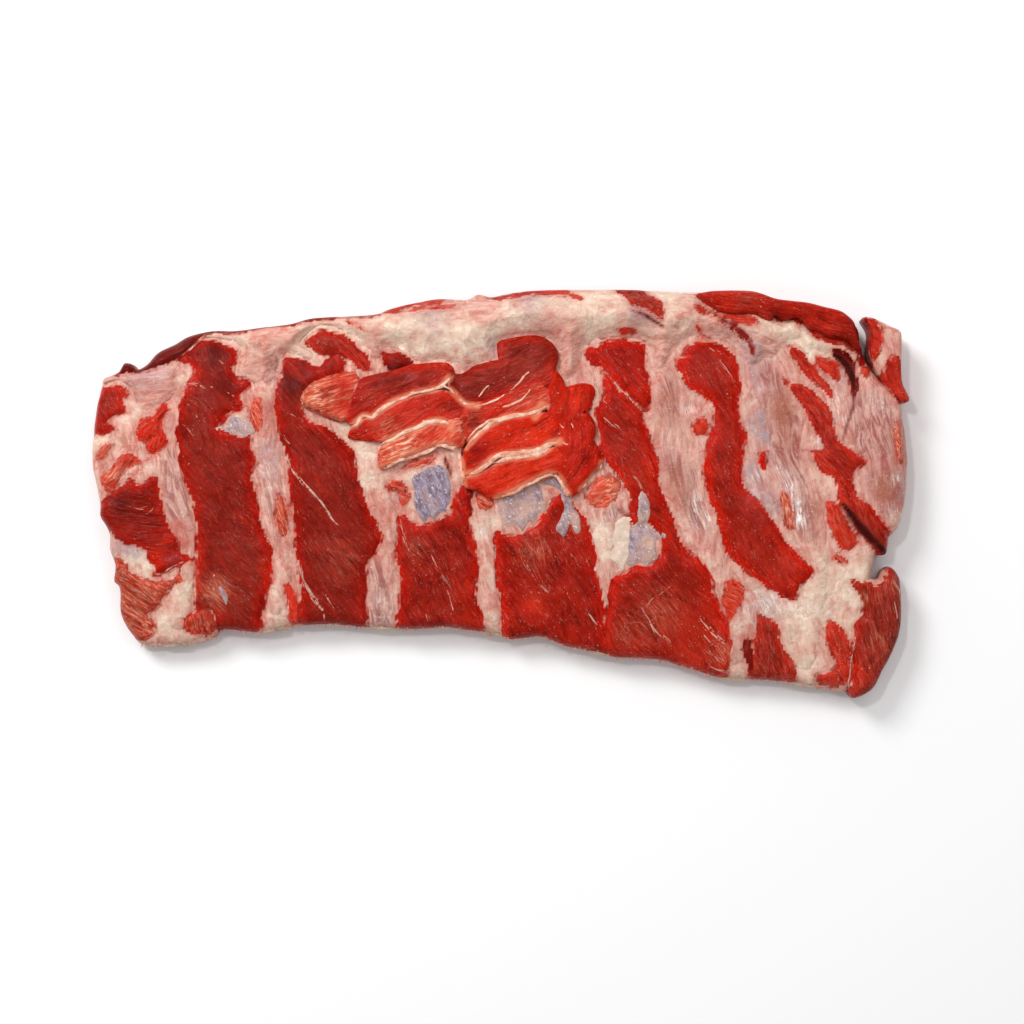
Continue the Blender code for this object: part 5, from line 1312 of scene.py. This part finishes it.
CORNER = [(182, -43), (190, -43.5), (199, -45.5), (202, -41), (206, -39), (210, -44), (211, -50),
    (211.5, -60), (211, -70), (209, -78), (205, -87), (201, -94), (197, -102), (191, -106.5), (185, -107.3),
    (184, -98), (186, -90), (185, -80), (188, -73), (186.5, -67), (191, -63), (190, -55), (185, -49)]
LOOSE_STEP = 1.0
BACK_HEIGHT, FLAP_HEIGHT, CORNER_HEIGHT = 29.4, 25.5, 24.5
LOOSE_STRANDS = [(1, 15, 6, 61), (0.5, 6, 4, 62)]  # height, length, how slender, and seed
LOOSE_RELIEF = 0.35


def back_crest(x, y):
    """The back muscle slopes down to the fat at its lower edge, and thins out at its left end."""
    rise = 3 * fade(0, 10, y - np.interp(x, *np.array(BACK_LOW).T))
    return BACK_HEIGHT + rise - 3.5 * fade(122, 103, x)


def loose_top(crest, edge, turn):
    """An upper face that rounds down to its outline over this distance, with fibres that run this way."""
    def top(x, y, inner):
        crown = np.sqrt(np.clip(1 - (1 - np.clip(inner / edge, 0, 1)) ** 2, 0, 1))
        relief = LOOSE_RELIEF * strands_at(x, y, turn, LOOSE_STRANDS) + 0.7 * ripple(x, y, 10, 63) * crown
        return crest(x, y) - edge * (1 - crown) + relief
    return top


def loose(name, node, outline, crest, edge, turn, low, slot, material, **given):
    """Makes one loose end, from its outline, the height of its crest and the heights of its lower face."""
    piece, points, height = body(name, outline, LOOSE_STEP, loose_top(crest, edge, turn), low, 6, 0.5)
    marks(piece, points, turn=turn, **given)
    piece.data.materials.append(material)
    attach(piece, "root")
    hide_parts(node)


loose("back_lean", "back_muscle", BACK_MUSCLE, back_crest, 3, -12,
      lambda x, y, inner: bed(x, y) - 2, "lean", beef, depth=4, brown=0.3, tone=0.05, pallor=0.02)
loose("end_flap_lean", "end_flap", END_FLAP, lambda x, y: FLAP_HEIGHT + 0 * x, 3, -60,
      lambda x, y, inner: round_off(inner, 3), "lean", beef)
loose("corner_lean", "corner_muscle", CORNER, lambda x, y: CORNER_HEIGHT - 0.002 * (x - 196) ** 2, 6, -74,
      lambda x, y, inner: round_off(inner, 3), "lean", beef)

# ---------------------------------------------------------------------------------------------------------
# The fringe: short torn threads of membrane that hang out along the upper rim of the cut edge, scattered
# over a narrow band and pointing out and down.

FRINGE_SPACING = 1.5
FRINGE_LENGTH = (0.6, 2.0)
FRINGE_WIDTH = (0.25, 0.7)
FRINGE_ROWS = [(0.4, 3.2), (0.0, 5.5)]  # how far each lies in from the rim, and down from the seams
right, left = RACK.index((172, -103)), RACK.index((-176, -80))
CUT_RIM = [(-189, -80.5), *RACK[right:left + 1][::-1], (182, -105)]  # the rack's lower edge, from the left


def fringe_tree():
    """Sets thin cones along each path, pointing out over the edge and down."""
    tree = bpy.data.node_groups.new("fringe", "GeometryNodeTree")
    for label, kind in (
            ("Paths", "Geometry"), ("Spacing", "Float"), ("Shortest", "Float"), ("Longest", "Float"),
            ("Thinnest", "Float"), ("Thickest", "Float"), ("Seed", "Int"), ("Material", "Material")):
        tree.interface.new_socket(label, in_out="INPUT", socket_type="NodeSocket" + kind)
    tree.interface.new_socket("Fringe", in_out="OUTPUT", socket_type="NodeSocketGeometry")
    given = tree.nodes.new("NodeGroupInput").outputs

    path = add(tree, "GeometryNodeMeshToCurve", {"Mesh": given["Paths"]})
    roots = add(tree, "GeometryNodeResampleCurve", {"Curve": path, "Length": given["Spacing"]}, mode="LENGTH")
    scatter = add(tree, "FunctionNodeRandomValue", {
        0: (-2 * MM, -0.6 * MM, -2.5 * MM), 1: (2 * MM, 0.2 * MM, 3 * MM), "Seed": given["Seed"]},
        data_type="FLOAT_VECTOR")
    roots = add(tree, "GeometryNodeSetPosition", {"Geometry": roots, "Offset": scatter})
    thread = add(tree, "GeometryNodeMeshCone", {
        "Vertices": 5, "Side Segments": 3, "Radius Top": 0.1, "Radius Bottom": 0.5, "Depth": 1.0})
    thread = add(tree, "GeometryNodeTransform", {"Geometry": thread, "Translation": (0, 0, -0.2)})
    turn = add(tree, "FunctionNodeRandomValue", {
        0: (math.radians(80), math.radians(-45), math.radians(-35)),
        1: (math.radians(140), math.radians(45), math.radians(35)), "Seed": given["Seed"]},
        data_type="FLOAT_VECTOR")
    wide, long = (
        add(tree, "FunctionNodeRandomValue", {2: given[least], 3: given[most], "Seed": given["Seed"]}, out=1)
        for least, most in (("Thinnest", "Thickest"), ("Shortest", "Longest")))
    size = add(tree, "ShaderNodeCombineXYZ", {0: wide, 1: wide, 2: long})
    fringe = add(tree, "GeometryNodeInstanceOnPoints", {
        "Points": roots, "Instance": thread, "Rotation": turn, "Scale": size})
    fringe = add(tree, "GeometryNodeRealizeInstances", {"Geometry": fringe})
    fringe = add(tree, "GeometryNodeSetShadeSmooth", {"Geometry": fringe})
    fringe = add(tree, "GeometryNodeSetMaterial", {"Geometry": fringe, "Material": given["Material"]})
    tree.links.new(fringe, tree.nodes.new("NodeGroupOutput").inputs["Fringe"])
    return tree


rim = smooth_line(CUT_RIM, False, 8)
rows = []
for inset, drop in FRINGE_ROWS:
    x, y = rim[:, 0], rim[:, 1] + inset
    z = bed(x, y) - drop + 2.2 * ripple(x, y, 4, 71)
    rows.append(np.column_stack([x, y, z, np.ones((len(x), 2))]))
fringe = grow("cut_fringe", fringe_tree(), rows, {
    "Spacing": FRINGE_SPACING * MM, "Shortest": FRINGE_LENGTH[0] * MM, "Longest": FRINGE_LENGTH[1] * MM,
    "Thinnest": FRINGE_WIDTH[0] * MM, "Thickest": FRINGE_WIDTH[1] * MM, "Seed": 5,
    "Material": sheath("fringe_threads", "#D07A5E", "#E9B697", "#B84A34")})
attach(fringe, "root")

# ---------------------------------------------------------------------------------------------------------
# The floor, light and camera: a plain pale table, soft light from the upper left with a small lamp for the
# wet glints, and a view straight down.

PHOTO_WIDTH = 537.6  # of the table, across the picture
PHOTO_CENTRE = (6.0, -9.7)
FOCUS_HEIGHT = 25
LENS, SENSOR = 85, 36
distance = PHOTO_WIDTH / 2 / (SENSOR / 2 / LENS)
camera = bpy.data.objects.new("camera", bpy.data.cameras.new("camera"))
camera.data.lens, camera.data.sensor_width = LENS, SENSOR
camera.data.clip_start, camera.data.clip_end = 0.1, 20
camera.location = (PHOTO_CENTRE[0] * MM, PHOTO_CENTRE[1] * MM, (FOCUS_HEIGHT + distance) * MM)
bpy.context.scene.collection.objects.link(camera)
bpy.context.scene.camera = camera

table_mesh = bpy.data.meshes.new("table")
half = 3000 * MM
table_mesh.from_pydata([(-half, -half, 0), (half, -half, 0), (half, half, 0), (-half, half, 0)], [],
                       [(0, 1, 2, 3)])
table = bpy.data.objects.new("table", table_mesh)
bpy.context.scene.collection.objects.link(table)
table_finish, tree = new_material("white_table")
finish_material(tree, {"Base Color": (0.93, 0.93, 0.93, 1), "Roughness": 0.9, "Specular IOR Level": 0.1})
table_mesh.materials.append(table_finish)

world = bpy.data.worlds.new("studio")
world.use_nodes = True
world.node_tree.nodes["Background"].inputs["Color"].default_value = (1, 1, 1, 1)
world.node_tree.nodes["Background"].inputs["Strength"].default_value = 0.48
bpy.context.scene.world = world


def softbox(name, place, size, watts):
    """A square soft light at this place in metres, turned to the rack."""
    lamp = bpy.data.lights.new(name, "AREA")
    lamp.size, lamp.energy = size, watts
    made = bpy.data.objects.new(name, lamp)
    made.location = place
    made.rotation_euler = (-made.location).to_track_quat("-Z", "Y").to_euler()
    bpy.context.scene.collection.objects.link(made)


softbox("key", (-0.85, 1.0, 1.3), 0.6, 21)
softbox("fill", (0.5, 0.6, 1.7), 1.0, 5)
softbox("sparkle", (-0.35, 0.45, 1.6), 0.1, 5)
bpy.context.scene.view_settings.view_transform = "Standard"
